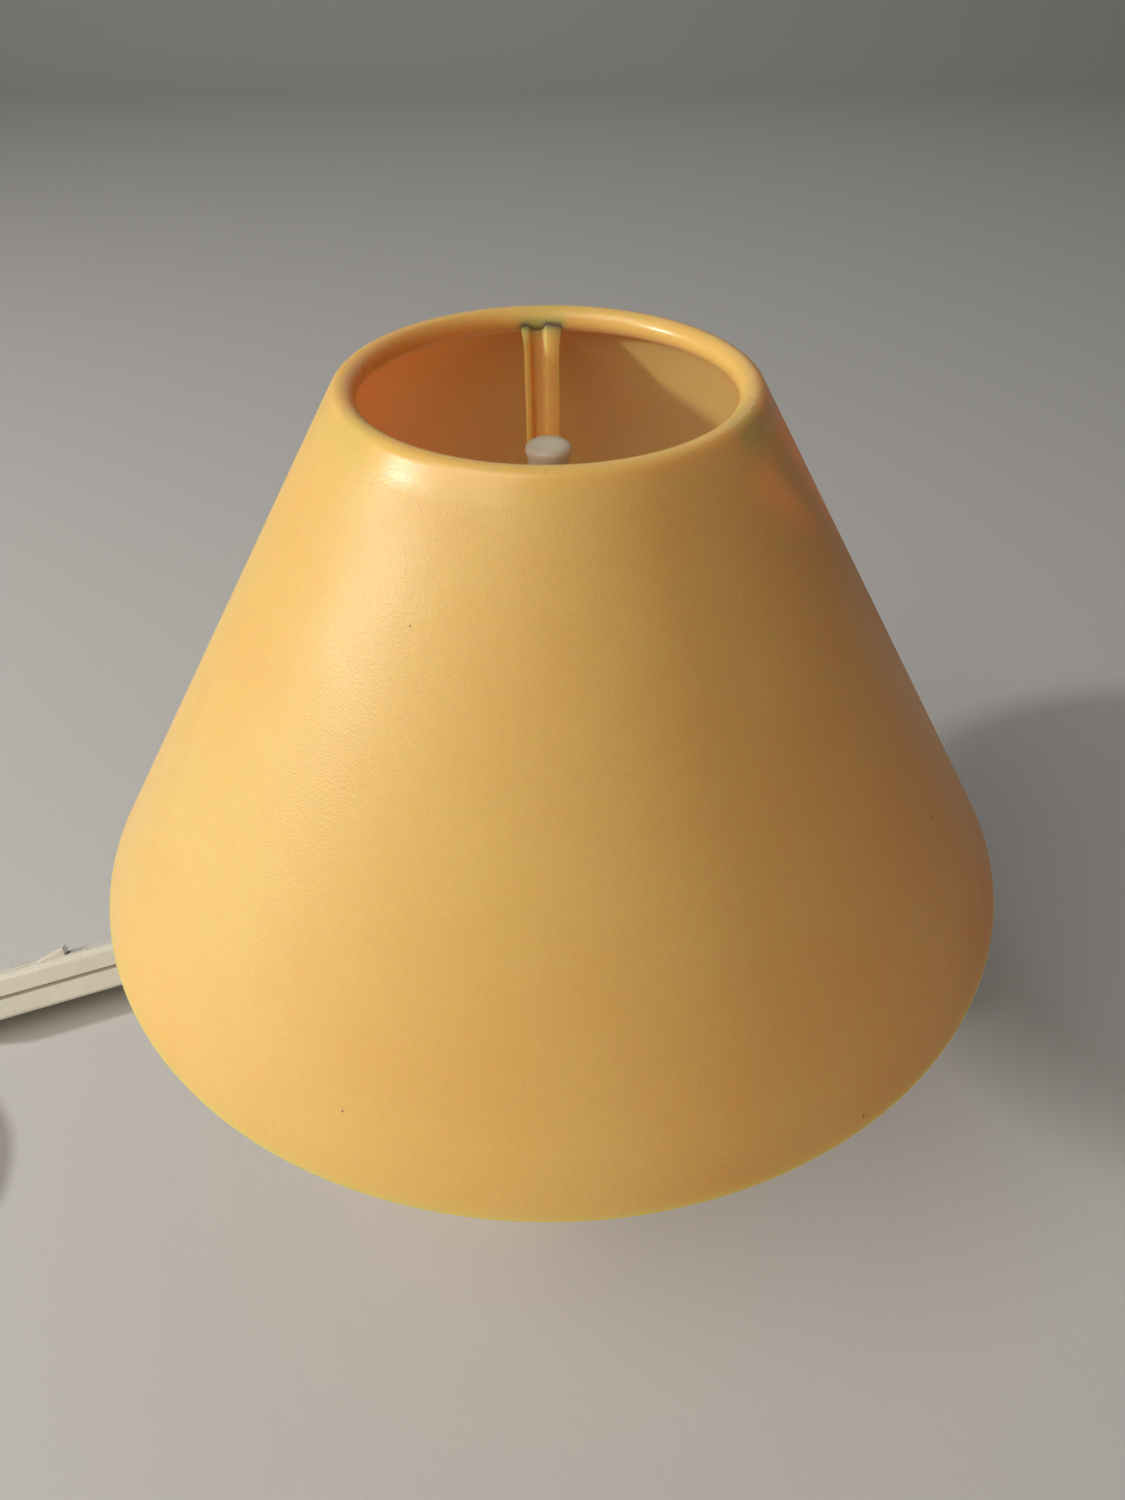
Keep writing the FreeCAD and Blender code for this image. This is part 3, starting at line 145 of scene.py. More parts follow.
class Finish:
    """A material being made: one shader, nodes from one method, and sums written as expressions."""

    def __init__(self, name, colour, roughness, **fixed):
        self.material = bpy.data.materials.new(name)
        self.material.use_nodes = True
        self.tree = self.material.node_tree
        self.shader = self.tree.nodes["Principled BSDF"]
        self.set("Base Color", colour)
        self.set("Roughness", roughness)
        for socket, value in fixed.items():
            self.set(socket.replace("_", " "), value)

    def node(self, kind, settings=None, inputs=None, output=0):
        """Add a node of a kind, with its settings and its sockets' values or links."""
        made = self.tree.nodes.new(kind)
        for name, value in (settings or {}).items():
            setattr(made, name, value)
        for key, value in (inputs or {}).items():
            self.feed(made.inputs[key], value)
        return Value(self, made.outputs[output])

    def feed(self, socket, value):
        """Link a value to a socket, or set the socket's own number or colour."""
        if isinstance(value, Value):
            self.tree.links.new(value.socket, socket)
        elif socket.type == "RGBA" and len(value) == 3:
            socket.default_value = (*value, 1.0)
        else:
            socket.default_value = value

    def set(self, socket, value):
        """Feed one of the shader's sockets."""
        self.feed(self.shader.inputs[socket], value)

    def place(self):
        """Return the point on the surface, in metres."""
        return self.node("ShaderNodeTexCoord", output="Object")

    def height(self):
        """Return how far the point on the surface is above the table, in metres."""
        return self.node("ShaderNodeSeparateXYZ", None, {0: self.place()}, output="Z")

    def noise(self, size, detail):
        """Return soft noise, 0 to 1, whose blots are about a size across, in metres."""
        return self.node("ShaderNodeTexNoise", {"noise_dimensions": "3D"},
                         {"Vector": self.place(), "Scale": 1.0 / size, "Detail": detail,
                          "Roughness": 0.5})

    def cells(self, size):
        """Return the distance from the middles of cells about a size across, in metres."""
        return self.node("ShaderNodeTexVoronoi", {"feature": "F1"},
                         {"Vector": self.place(), "Scale": 1.0 / size}, output="Distance")

    def spread(self, value, low, high, to_low, to_high):
        """Return a value carried from one range to another and held at its ends."""
        return self.node("ShaderNodeMapRange", {"clamp": True},
                         {"Value": value, "From Min": low, "From Max": high,
                          "To Min": to_low, "To Max": to_high})

    def blend(self, share, first, second):
        """Return a mix of two colours."""
        return self.node("ShaderNodeMix", {"data_type": "RGBA"},
                         {"Factor": share, 6: first, 7: second}, output=2)

    def bump(self, height, distance, strength=1.0):
        """Raise the surface by a height of 0 to 1 times a distance, in metres."""
        self.set("Normal", self.node("ShaderNodeBump", None,
                                     {"Height": height, "Distance": distance, "Strength": strength}))


def paint(piece, finish):
    """Give a piece its finish."""
    piece.data.materials.clear()
    piece.data.materials.append(finish.material)


def table_top():
    """Return the table's sheet: flat under the lamp, sweeping up into a wall far behind."""
    half_width = 2.6
    front = -1.6
    sweep_start = 1.5
    sweep_r = 0.7
    wall_top = 2.4
    line = [(front, 0.0)]
    steps = 24
    for step in range(steps + 1):
        angle = math.pi / 2 * step / steps
        line.append((sweep_start + sweep_r * math.sin(angle), sweep_r * (1 - math.cos(angle))))
    line.append((sweep_start + sweep_r, wall_top))
    mesh = bpy.data.meshes.new("table_top")
    points = [(side * half_width, y, z) for y, z in line for side in (-1, 1)]
    faces = [(2 * k, 2 * k + 1, 2 * k + 3, 2 * k + 2) for k in range(len(line) - 1)]
    mesh.from_pydata(points, [], faces)
    mesh.shade_smooth()
    return add_piece("table_top", mesh)


table_finish = Finish("table_paint", (0.60, 0.595, 0.58), 0.62)
table_finish.bump(table_finish.noise(0.004, 3.0), 0.00006)
table = table_top()
paint(table, table_finish)

# ------------------------------------------------------------------ flex
# Round two-core flex in a pale smooth sheath of soft plastic. A short length joins the base to the
# switch; the long one runs from the switch into a neat coil of two layers and on to the plug.

FLEX_R = 2.8
FLEX_EXIT = (-60.62, 35.0, 10.0)
SWITCH_END = (-182.49, 13.67, 10.45)
LAMP_FLEX_ROUTE = [FLEX_EXIT, (-72.75, 42.0, 10.0), (-84.0, 46.8, 8.6), (-96.0, 46.6, 8.4),
                   (-107.0, 43.01, 10.45), (-124.71, 36.13, 10.45)]
MAINS_FLEX_ROUTE = [SWITCH_END, (-197.41, 7.87, 10.45), (-211.8, 0.9, 6.6), (-225.4, -6.3, 3.9)]
TAIL_ROUTE = [(-246.2, -51.1, 9.3), (-243.1, -63.7, 7.4), (-237.8, -75.6, 5.0),
              (-229.75, -85.81, 6.85), (-217.47, -94.42, 6.85)]
COIL_MIDDLE = (-206.2, -44.0)
COIL_OUTER_TURN_R = 42.3
COIL_INNER_TURN_R = 19.9
COIL_START = 117.0           # degrees round its middle
COIL_END_R = 40.6
COIL_LOWER_Z = 3.7
COIL_UPPER_Z = 9.3
POINTS_PER_TURN = 24


def coil_route():
    """Return the turns: inwards on the table, up through half a turn, outwards on the top layer."""
    pitch = 2 * FLEX_R
    inward = (COIL_OUTER_TURN_R - COIL_INNER_TURN_R) / pitch
    outward = (COIL_END_R - COIL_INNER_TURN_R) / pitch
    rise = 0.5
    turns = inward + rise + outward
    points = []
    for step in range(1, int(turns * POINTS_PER_TURN)):
        turn = step / POINTS_PER_TURN
        climbed = min(max((turn - inward) / rise, 0.0), 1.0)
        radius = (COIL_OUTER_TURN_R - pitch * min(turn, inward)
                  + pitch * max(turn - inward - rise, 0.0))
        angle = math.radians(COIL_START) + 2 * math.pi * turn
        points.append((COIL_MIDDLE[0] + radius * math.cos(angle),
                       COIL_MIDDLE[1] + radius * math.sin(angle),
                       COIL_LOWER_Z + (COIL_UPPER_Z - COIL_LOWER_Z) * climbed))
    return points


def flex(name, route):
    """Return a length of flex on one smooth curve with these control points, in millimetres."""
    curve = bpy.data.curves.new(name, "CURVE")
    curve.dimensions = "3D"
    curve.bevel_depth = FLEX_R * MM
    curve.bevel_resolution = 5
    curve.resolution_u = 5
    curve.use_fill_caps = True
    spline = curve.splines.new("NURBS")
    spline.points.add(len(route) - 1)
    for control, point in zip(spline.points, route):
        control.co = (*(Vector(point) * MM), 1.0)
    spline.order_u = 3
    spline.use_endpoint_u = True
    return add_piece(name, curve)


def moulded(name, light, dark, roughness, grain, depth, clouds=0.014, **fixed):
    """Return a moulded finish: faint clouds in its colour and shine over a fine even grain."""
    finish = Finish(name, light, roughness, **fixed)
    cloud = finish.noise(clouds, 3.0)
    finish.set("Base Color", finish.blend(finish.spread(cloud, 0.35, 0.65, 0.0, 1.0), light, dark))
    finish.set("Roughness", finish.spread(cloud, 0.3, 0.7, roughness - 0.05, roughness + 0.05))
    finish.bump(finish.noise(grain, 3.0), depth)
    return finish


def finish_nodes(finish, *names):
    """Give CAD nodes a finish."""
    for name in names:
        paint(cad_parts[name], finish)


sheath_finish = moulded("flex_sheath", (0.72, 0.68, 0.58), (0.66, 0.61, 0.50), 0.38, 0.0011,
                        0.00003, Subsurface_Weight=0.1, Subsurface_Scale=0.002)
lamp_flex = flex("lamp_flex", LAMP_FLEX_ROUTE)
mains_flex = flex("mains_flex", MAINS_FLEX_ROUTE + coil_route() + TAIL_ROUTE)
for length, replaced in ((lamp_flex, ["lamp_cord"]),
                         (mains_flex, ["mains_cord", "cord_coil", "cord_tail"])):
    paint(length, sheath_finish)
    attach(length, "root")
    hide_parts(*replaced)
finish_nodes(sheath_finish, "cord_end")

# ------------------------------------------------------------------ shade
# One injection moulding in translucent amber plastic with a fine spark-eroded skin: the cone with a
# rolled rim, three channel-section legs that run out into the rim, and the ring they stand on. The
# ring drops over the thread of the lamp holder and is clamped there.

SHADE_LOWER_R = 100.0
SHADE_SLOPE = 0.5888         # how far the wall leans in for each millimetre up
SHADE_FOOT = 100.0
SHADE_TOP = 206.0
SHADE_WALL = 1.8
EDGE_ROUND = 0.5
RIM_R = 2.43
CARRIER_BOTTOM = 112.25
CARRIER_TOP = 115.25
CARRIER_BORE_R = 14.3
CARRIER_R = 21.8
LEG_COUNT = 3
LEG_TURN = 92.0              # degrees, the leg at the back
LEG_FOOT_HALF = 3.0
LEG_TOP_HALF = 3.65
LEG_FLARE = 0.8              # each side
LEG_FLARE_HEIGHT = 7.0
LEG_THICKNESS = 3.4
LEG_GROOVE_HALF = 1.6
LEG_GROOVE_DEPTH = 1.5
LEG_GROOVE_SHIFT = 0.8       # the groove's middle, off the middle of the leg
LEG_ROWS = 40
LEG_EDGE = 0.35
ROUND_SEGMENTS = 256
CARRIER_SEGMENTS = 96
CARRIER_CHAMFER = 0.4
SHADE_LIGHT = (0.96, 0.525, 0.165)
SHADE_DARK = (0.92, 0.48, 0.14)
# painted highlight: the paler amber laid on the rim and the lower edge
EDGE_HIGHLIGHT_AMBER = (0.88, 0.56, 0.17)
SPECK_COLOUR = (0.10, 0.05, 0.02)
RIM_FADE = (0.2003, 0.2022)  # heights, in metres
EDGE_FADE = (0.1002, 0.1012)
SPECK_SPACING = 0.014
SPECK_SIZE = 0.026           # of the spacing


class Tree:
    """A Geometry Nodes tree being made, with named inputs and one baked mesh as its result."""

    def __init__(self, name, **inputs):
        self.tree = bpy.data.node_groups.new(name, "GeometryNodeTree")
        interface = self.tree.interface
        interface.new_socket("Geometry", in_out="INPUT", socket_type="NodeSocketGeometry")
        for label, kind in inputs.items():
            interface.new_socket(label, in_out="INPUT", socket_type="NodeSocket" + kind)
        interface.new_socket("Finish", in_out="INPUT", socket_type="NodeSocketMaterial")
        interface.new_socket("Geometry", in_out="OUTPUT", socket_type="NodeSocketGeometry")
        self.given = self.tree.nodes.new("NodeGroupInput").outputs

    def node(self, kind, settings=None, inputs=None, output=0):
        """Add a node and return one of its outputs."""
        made = self.tree.nodes.new(kind)
        for name, value in (settings or {}).items():
            setattr(made, name, value)
        for key, value in (inputs or {}).items():
            if isinstance(value, bpy.types.NodeSocket):
                self.tree.links.new(value, made.inputs[key])
            else:
                made.inputs[key].default_value = value
        return made.outputs[output]

    def maths(self, operation, *values):
        """Return a sum of numbers or sockets."""
        return self.node("ShaderNodeMath", {"operation": operation}, dict(enumerate(values)))

    def end(self, geometry):
        """Finish the tree: real geometry, smooth, in its finish."""
        real = self.node("GeometryNodeRealizeInstances", None, {"Geometry": geometry})
        smooth = self.node("GeometryNodeSetShadeSmooth", None, {"Geometry": real})
        painted = self.node("GeometryNodeSetMaterial", None,
                            {"Geometry": smooth, "Material": self.given["Finish"]})
        self.tree.links.new(painted, self.tree.nodes.new("NodeGroupOutput").inputs[0])

    def bake(self, mesh, finish, crease=30.0, **values):
        """Run the tree on a mesh with these inputs and return the plain mesh it makes."""
        carrier = add_piece(mesh.name + "_source", mesh)
        modifier = carrier.modifiers.new("build", "NODES")
        modifier.node_group = self.tree
        given = {item.name: item.identifier for item in self.tree.interface.items_tree
                 if item.in_out == "INPUT"}
        for label, value in {**values, "Finish": finish.material}.items():
            modifier[given[label]] = value
        depsgraph = bpy.context.evaluated_depsgraph_get()
        made = bpy.data.meshes.new_from_object(carrier.evaluated_get(depsgraph))
        bpy.data.objects.remove(carrier)
        made.materials.clear()
        made.materials.append(finish.material)
        made.set_sharp_from_angle(angle=math.radians(crease))
        return made


def turning_tree():
    """Return the tree that sweeps an outline of points round Z, closed where it meets itself."""
    tree = Tree("turn_outline", Segments="Int")
    outline = tree.given["Geometry"]
    count = tree.node("GeometryNodeAttributeDomainSize", {"component": "MESH"}, {0: outline})
    across = tree.maths("ADD", tree.given["Segments"], 1)
    sheet = tree.node("GeometryNodeMeshGrid", None, {"Vertices X": across, "Vertices Y": count})
    index = tree.node("GeometryNodeInputIndex")
    place = tree.node("GeometryNodeInputPosition")
    along = tree.maths("MODULO", index, count)
    column = tree.maths("FLOOR", tree.maths("DIVIDE", tree.maths("ADD", index, 0.5), count))
    angle = tree.maths("DIVIDE", tree.maths("MULTIPLY", column, 2 * math.pi),
                       tree.given["Segments"])
    point = tree.node("GeometryNodeSampleIndex", {"data_type": "FLOAT_VECTOR"},
                      {"Geometry": outline, "Value": place, "Index": along})
    turned = tree.node("ShaderNodeVectorRotate", {"rotation_type": "Z_AXIS"},
                       {"Vector": point, "Angle": angle})
    swept = tree.node("GeometryNodeSetPosition", None, {"Geometry": sheet, "Position": turned})
    tree.end(tree.node("GeometryNodeMergeByDistance", None, {"Geometry": swept, "Distance": 2e-6}))
    return tree


def ring_tree():
    """Return the tree that sets copies of a mesh evenly round Z."""
    tree = Tree("set_round", Count="Int", Start="Float")
    points = tree.node("GeometryNodePoints", None, {"Count": tree.given["Count"]})
    share = tree.maths("DIVIDE", tree.node("GeometryNodeInputIndex"), tree.given["Count"])
    angle = tree.maths("ADD", tree.given["Start"], tree.maths("MULTIPLY", share, 2 * math.pi))
    turn = tree.node("ShaderNodeCombineXYZ", None, {"Z": angle})
    tree.end(tree.node("GeometryNodeInstanceOnPoints", None,
                       {"Points": points, "Instance": tree.given["Geometry"], "Rotation": turn}))
    return tree


turning = turning_tree()
setting_round = ring_tree()


def outline_mesh(name, points):
    """Return a line of (radius, height) points, in millimetres, as a mesh for the turning tree."""
    mesh = bpy.data.meshes.new(name)
    mesh.from_pydata([(r * MM, 0.0, z * MM) for r, z in points],
                     [(k, k + 1) for k in range(len(points) - 1)], [])
    return mesh


def turned(name, points, finish, segments=ROUND_SEGMENTS):
    """Return the mesh swept by an outline that runs up the outside and down the inside."""
    return turning.bake(outline_mesh(name, points), finish, Segments=segments)


def stretch(a, b, steps):
    """Return points spaced evenly from one to just before another."""
    return [(a[0] + (b[0] - a[0]) * k / steps, a[1] + (b[1] - a[1]) * k / steps)
            for k in range(steps)]


def bow(centre, radius, start, end, steps):
    """Return points on an arc between two angles in degrees, both ends included."""
    return [(centre[0] + radius * math.cos(math.radians(start + (end - start) * k / steps)),
             centre[1] + radius * math.sin(math.radians(start + (end - start) * k / steps)))
            for k in range(steps + 1)]


def joined(name, meshes):
    """Return one mesh made of several that carry the same finish."""
    whole = bmesh.new()
    for mesh in meshes:
        whole.from_mesh(mesh)
    mesh = bpy.data.meshes.new(name)
    whole.to_mesh(mesh)
    whole.free()
    mesh.materials.append(meshes[0].materials[0])
    return mesh


def wall_r(z):
    """Return the outside radius of the cone at a height."""
    return SHADE_LOWER_R - SHADE_SLOPE * (z - SHADE_FOOT)


LEAN = math.degrees(math.atan(SHADE_SLOPE))
RIM_Z = SHADE_TOP - RIM_R
RIM_MIDDLE_R = wall_r(RIM_Z) - RIM_R / math.cos(math.radians(LEAN))


def cone_outline():
    """Return the cone's outline: wall, rolled rim, inside, and the level lower edge."""
    rim = (RIM_MIDDLE_R, RIM_Z)
    under = -math.degrees(math.acos((RIM_R - SHADE_WALL) / RIM_R)) + 360.0
    bead = bow(rim, RIM_R, LEAN, LEAN + under, 30)
    foot = (wall_r(SHADE_FOOT + EDGE_ROUND), SHADE_FOOT + EDGE_ROUND)
    inner_foot = (SHADE_LOWER_R - SHADE_WALL / math.cos(math.radians(LEAN)), SHADE_FOOT)
    edge_foot = (SHADE_LOWER_R - 1.1 * EDGE_ROUND, SHADE_FOOT)
    edge = [(SHADE_LOWER_R - 0.4 * EDGE_ROUND, SHADE_FOOT + 0.25 * EDGE_ROUND), foot]
    return (stretch(foot, bead[0], 12) + bead[:-1] + stretch(bead[-1], inner_foot, 12)
            + stretch(inner_foot, edge_foot, 1) + [edge_foot] + edge)


def leg_mesh():
    """Return one leg along +X: a channel open to the axis, flared where it meets the rim."""
    top_r = RIM_MIDDLE_R - RIM_R + 0.1
    foot_r = CARRIER_R - LEG_THICKNESS
    leg = bmesh.new()
    rings = []
    for row in range(LEG_ROWS + 1):
        share = row / LEG_ROWS
        z = CARRIER_BOTTOM + (RIM_Z - CARRIER_BOTTOM) * share
        near_rim = max(0.0, 1 - (RIM_Z - z) / LEG_FLARE_HEIGHT)
        half = LEG_FOOT_HALF + (LEG_TOP_HALF - LEG_FOOT_HALF) * share + LEG_FLARE * near_rim ** 2.4
        inner = foot_r + (top_r - foot_r) * share
        groove = LEG_GROOVE_HALF * (0.85 + 0.15 * share)
        depth = LEG_GROOVE_DEPTH * (1 - 0.6 * near_rim)
        section = [(0, -half), (LEG_THICKNESS, -half), (LEG_THICKNESS, half), (0, half),
                   (0, LEG_GROOVE_SHIFT + groove), (depth, LEG_GROOVE_SHIFT + 0.7 * groove),
                   (depth, LEG_GROOVE_SHIFT - 0.7 * groove), (0, LEG_GROOVE_SHIFT - groove)]
        rings.append([leg.verts.new(((inner + r) * MM, t * MM, z * MM)) for r, t in section])
    for low, high in zip(rings, rings[1:]):
        for k in range(len(low)):
            after = (k + 1) % len(low)
            leg.faces.new((low[k], low[after], high[after], high[k]))
    leg.faces.new(rings[0][::-1])
    leg.faces.new(rings[-1])
    bmesh.ops.recalc_face_normals(leg, faces=leg.faces)
    long_edges = [e for e in leg.edges
                  if abs(e.verts[0].co.z - e.verts[1].co.z) > 1e-6]
    bmesh.ops.bevel(leg, geom=long_edges, offset=LEG_EDGE * MM, segments=2, affect="EDGES",
                    profile=0.5)
    mesh = bpy.data.meshes.new("leg")
    leg.to_mesh(mesh)
    leg.free()
    return mesh


def spark_skin(finish):
    """Return the height of the fine skin that a spark-eroded mould leaves, for a bump."""
    return finish.cells(0.00045) * 0.5 + finish.noise(0.0003, 3.0) * 0.8


def shade_plastic():
    """Return the amber plastic: clouded, grained, smooth at the rim, with a painted highlight on the
    rim and the lower edge, and a few dark specks.
    """
    finish = Finish("amber_shade_plastic", SHADE_LIGHT, 0.42, Subsurface_Weight=0.8,
                    Subsurface_Radius=(1.0, 0.42, 0.08), Subsurface_Scale=0.009)
    height = finish.height()
    cloud = finish.noise(0.03, 4.0)
    fine = finish.noise(0.0007, 2.0)
    at_rim = finish.spread(height, *RIM_FADE, 0.0, 1.0)
    at_edge = finish.spread(height, *EDGE_FADE, 1.0, 0.0)
    specks = finish.cells(SPECK_SPACING) < SPECK_SIZE
    body = finish.blend(finish.spread(cloud * 0.7 + fine * 0.3, 0.38, 0.62, 0.0, 1.0),
                        SHADE_LIGHT, SHADE_DARK)
    # Painted highlight: the rim and the lower edge are paled towards a lighter amber.
    body = finish.blend(at_rim * 0.35 + at_edge * 0.5, body, EDGE_HIGHLIGHT_AMBER)
    finish.set("Base Color", finish.blend(specks * 0.6, body, SPECK_COLOUR))
    rough = finish.spread(cloud, 0.35, 0.65, 0.38, 0.48)
    finish.set("Roughness", rough - at_rim * 0.12)
    finish.bump(spark_skin(finish) * (1 - at_rim * 0.7), 0.00007, 0.9)
    return finish


shade_finish = shade_plastic()
carrier_flat_r = CARRIER_R - CARRIER_CHAMFER
carrier_outline = [(carrier_flat_r, CARRIER_BOTTOM), (CARRIER_R, CARRIER_BOTTOM + CARRIER_CHAMFER),
                   (CARRIER_R, CARRIER_TOP - CARRIER_CHAMFER), (carrier_flat_r, CARRIER_TOP),
                   (CARRIER_BORE_R, CARRIER_TOP), (CARRIER_BORE_R, CARRIER_BOTTOM),
                   (carrier_flat_r, CARRIER_BOTTOM)]
shade = add_piece("shade_moulding", joined("shade_moulding", [
    turned("cone", cone_outline(), shade_finish),
    turned("carrier", carrier_outline, shade_finish, CARRIER_SEGMENTS),
    setting_round.bake(leg_mesh(), shade_finish, 40.0, Count=LEG_COUNT,
                       Start=math.radians(LEG_TURN)),
]))
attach(shade, "shade")
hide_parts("shade")

# ------------------------------------------------------------------ bulb
# A candle bulb: blown glass, frosted inside, cemented in a thin nickel-plated cap with a rolled
# thread. A glass stem in it carries two wires and the coiled filament.

# Painted reflection and painted shadow: the frosted glass is coloured a dim beige-amber for the
# amber light the lampshade throws on it and for the rim's shadow over its tip.
bulb_glass_painted_amber = Finish("frosted_glass", (0.66, 0.58, 0.44), 0.24, Subsurface_Weight=0.3,
                    Subsurface_Radius=(1.0, 1.0, 1.0), Subsurface_Scale=0.004)
frost = bulb_glass_painted_amber.noise(0.006, 3.0)
bulb_glass_painted_amber.set("Base Color", bulb_glass_painted_amber.blend(frost, (0.62, 0.54, 0.40), (0.72, 0.64, 0.50)))
bulb_glass_painted_amber.set("Roughness", bulb_glass_painted_amber.spread(frost, 0.3, 0.7, 0.28, 0.40))
bulb_glass_painted_amber.bump(bulb_glass_painted_amber.noise(0.0005, 2.0), 0.00001)
finish_nodes(bulb_glass_painted_amber, "bulb_glass")


def metal(name, light, dark, roughness, grain, depth):
    """Return a metal finish: slightly uneven tone and shine over fine marks."""
    finish = Finish(name, light, roughness, Metallic=1.0)
    tone = finish.noise(0.004, 4.0)
    finish.set("Base Color", finish.blend(finish.spread(tone, 0.35, 0.65, 0.0, 1.0), light, dark))
    finish.set("Roughness", finish.spread(tone, 0.3, 0.7, roughness - 0.06, roughness + 0.08))
    finish.bump(finish.noise(grain, 4.0), depth)
    return finish


def glass(name, colour, roughness):
    """Return a clear or dark glass with faint seeds in it."""
    finish = Finish(name, colour, roughness, Transmission_Weight=0.85, IOR=1.5)
    seeds = finish.noise(0.003, 3.0)
    finish.set("Roughness", finish.spread(seeds, 0.3, 0.7, roughness, roughness + 0.05))
    finish.set("Base Color", finish.blend(seeds * 0.2, colour, (0.9, 0.93, 0.92)))
    return finish


finish_nodes(glass("clear_stem_glass", (0.92, 0.95, 0.94), 0.03), "bulb_stem")
finish_nodes(metal("filament_wire", (0.55, 0.53, 0.50), (0.42, 0.40, 0.38), 0.38, 0.0002, 0.00001),
             "bulb_filament")
finish_nodes(metal("nickel_plate", (0.76, 0.74, 0.70), (0.66, 0.64, 0.60), 0.26, 0.0006, 0.00001),
             "bulb_cap")
finish_nodes(moulded("black_cap_glass", (0.02, 0.02, 0.025), (0.03, 0.03, 0.035), 0.15, 0.002,
                     0.00001), "cap_insulator")
finish_nodes(metal("tin_solder", (0.62, 0.62, 0.60), (0.46, 0.46, 0.45), 0.42, 0.0008, 0.00004),
             "cap_tip")

# ------------------------------------------------------------------ lamp holder
# A moulded holder in pale ivory plastic, screwed on the nipple: a skirt, and a shell whose flange
# and thread take the shade. Its white core carries brass contacts. A fluted ring clamps the shade.

ivory_finish = moulded("ivory_holder", (0.74, 0.69, 0.56), (0.70, 0.645, 0.51), 0.36, 0.0006,
                       0.00002, Subsurface_Weight=0.12, Subsurface_Scale=0.002)
finish_nodes(ivory_finish, "holder_skirt", "holder_shell", "shade_ring")
finish_nodes(moulded("white_core", (0.80, 0.79, 0.76), (0.74, 0.73, 0.69), 0.55, 0.0005, 0.00003),
             "holder_core")
finish_nodes(metal("pressed_brass", (0.80, 0.58, 0.28), (0.66, 0.45, 0.20), 0.30, 0.0007, 0.00002),
             "contact_shell", "centre_contact", "terminal_blocks", "fixed_contacts")
finish_nodes(metal("zinc_screw", (0.66, 0.66, 0.64), (0.50, 0.50, 0.49), 0.34, 0.0006, 0.00002),
             "terminal_screws", "cover_screws", "clamp_screws", "switch_screws", "rocker_pin")

# ------------------------------------------------------------------ base
# A domed foot and a tapered stem, moulded in the shade's amber plastic and drawn together by one
# long threaded nipple. A steel disc in the foot gives it weight, and a dark cover with four pads
# closes it from below. The flex comes in through a flexible bush and is held by a clamp.

BASE_LIGHT = (0.88, 0.62, 0.26)
BASE_DARK = (0.84, 0.57, 0.22)


def base_plastic():
    """Return the amber plastic as it looks on the base: the same skin, less light through it."""
    finish = Finish("amber_base_plastic", BASE_LIGHT, 0.40, Subsurface_Weight=0.30,
                    Subsurface_Radius=(1.0, 0.45, 0.10), Subsurface_Scale=0.0015)
    cloud = finish.noise(0.022, 4.0)
    body = finish.blend(finish.spread(cloud, 0.38, 0.62, 0.0, 1.0), BASE_LIGHT, BASE_DARK)
    at_foot = finish.spread(finish.height(), 0.0016, 0.0040, 1.0, 0.0)
    scuffed = at_foot * finish.spread(finish.noise(0.002, 3.0), 0.45, 0.6, 0.0, 1.0)
    finish.set("Base Color", finish.blend(scuffed * 0.5, body, (0.80, 0.55, 0.25)))
    finish.set("Roughness", finish.spread(cloud, 0.35, 0.65, 0.36, 0.46) + scuffed * 0.15)
    finish.bump(spark_skin(finish), 0.00006, 0.9)
    return finish


finish_nodes(base_plastic(), "base_foot", "stem")
finish_nodes(moulded("dark_cover", (0.035, 0.032, 0.030), (0.050, 0.046, 0.042), 0.50, 0.0005,
                     0.00005), "bottom_cover", "cord_clamp")
finish_nodes(moulded("rubber_pad", (0.060, 0.058, 0.056), (0.045, 0.043, 0.042), 0.82, 0.0009,
                     0.00006, clouds=0.004), "foot_pads")
finish_nodes(metal("plain_steel", (0.52, 0.51, 0.49), (0.38, 0.36, 0.34), 0.42, 0.0012, 0.00005),
             "ballast_plate", "nipple", "nipple_washer", "nipple_nut")
finish_nodes(moulded("soft_ivory", (0.70, 0.655, 0.54), (0.64, 0.59, 0.475), 0.52, 0.0008, 0.00003),
             "cord_bush", "switch_bushes", "plug_relief")
finish_nodes(moulded("brown_lead", (0.14, 0.065, 0.03), (0.11, 0.05, 0.025), 0.40, 0.0012, 0.00002),
             "live_lead")
finish_nodes(moulded("blue_lead", (0.05, 0.14, 0.36), (0.04, 0.11, 0.30), 0.40, 0.0012, 0.00002),
             "neutral_lead")

# ------------------------------------------------------------------ switch
# An in-line switch for the flex, two glossy ivory shells held by two screws from below, with painted
# shade in the line where they meet. Its rocker tips on a steel pin. The twist of the flex leans it
# backwards.

SWITCH_MIDDLE = Vector((-153.6, 24.9, 10.45)) * MM
SWITCH_TURN = math.radians(21.24)
SWITCH_LEAN = math.radians(40.0)
SWITCH_UP = Vector((-math.sin(SWITCH_TURN) * math.sin(SWITCH_LEAN),
                    math.cos(SWITCH_TURN) * math.sin(SWITCH_LEAN), math.cos(SWITCH_LEAN)))
LINE_AT = SWITCH_MIDDLE.dot(SWITCH_UP)
LINE_HALF = 0.0006           # metres
IVORY_LIGHT = (0.92, 0.88, 0.75)
IVORY_DARK = (0.88, 0.835, 0.70)


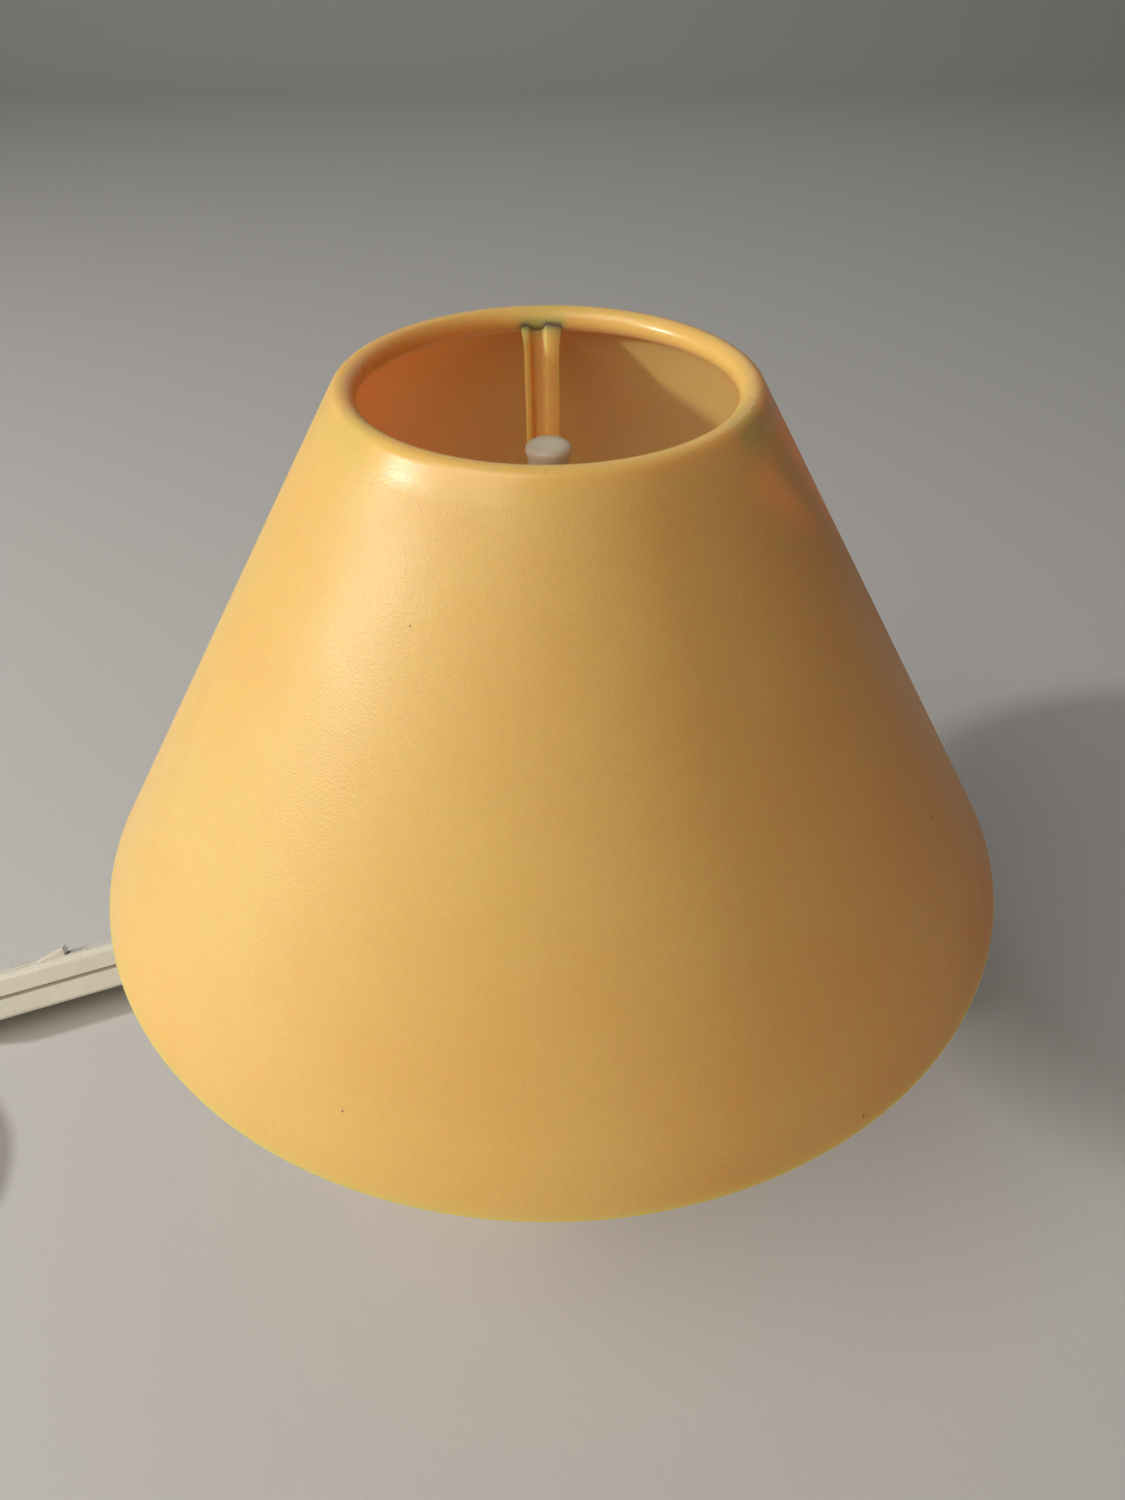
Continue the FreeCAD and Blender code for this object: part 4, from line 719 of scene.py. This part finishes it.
def switch_plastic():
    """Return the switch's ivory plastic: glossy, with painted shade darkening the line between its
    shells.
    """
    finish = Finish("glossy_ivory", IVORY_LIGHT, 0.27, Subsurface_Weight=0.12,
                    Subsurface_Scale=0.002, Coat_Weight=0.15, Coat_Roughness=0.12)
    cloud = finish.noise(0.010, 3.0)
    up = finish.node("ShaderNodeVectorMath", {"operation": "DOT_PRODUCT"},
                     {0: finish.place(), 1: SWITCH_UP}, output="Value")
    # Painted shade: a thin band along the seam between the shells is darkened towards brown.
    seam_painted_shade = (up > LINE_AT - LINE_HALF) * (up < LINE_AT + LINE_HALF)
    body = finish.blend(finish.spread(cloud, 0.35, 0.65, 0.0, 1.0), IVORY_LIGHT, IVORY_DARK)
    finish.set("Base Color", finish.blend(seam_painted_shade * 0.55, body, (0.60, 0.54, 0.40)))
    rubbed = finish.spread(finish.noise(0.003, 3.0), 0.5, 0.65, 0.0, 1.0)
    finish.set("Roughness", finish.spread(cloud, 0.3, 0.7, 0.22, 0.30) + rubbed * 0.08)
    finish.bump(finish.noise(0.0009, 2.0), 0.000012)
    return finish


finish_nodes(switch_plastic(), "switch_lower", "switch_upper")
finish_nodes(moulded("rocker_ivory", (0.79, 0.75, 0.62), (0.75, 0.70, 0.57), 0.22, 0.0010, 0.00001,
                     Coat_Weight=0.15), "switch_rocker")

# ------------------------------------------------------------------ plug and tie
# A flat two-pin plug moulded on the flex in ivory plastic, its plated pins sleeved at their roots.
# A soft black band holds the coil's turns together.

finish_nodes(moulded("plug_ivory", (0.74, 0.69, 0.57), (0.70, 0.645, 0.52), 0.40, 0.0006, 0.00003),
             "plug_body")
finish_nodes(metal("plated_pin", (0.74, 0.73, 0.70), (0.62, 0.60, 0.57), 0.24, 0.0008, 0.00001),
             "plug_pins")
finish_nodes(moulded("dark_sleeve", (0.030, 0.029, 0.028), (0.045, 0.043, 0.041), 0.45, 0.0008,
                     0.00002), "pin_sleeves")
finish_nodes(moulded("black_tie", (0.028, 0.028, 0.030), (0.040, 0.040, 0.042), 0.55, 0.0005,
                     0.00004, clouds=0.004), "coil_tie")
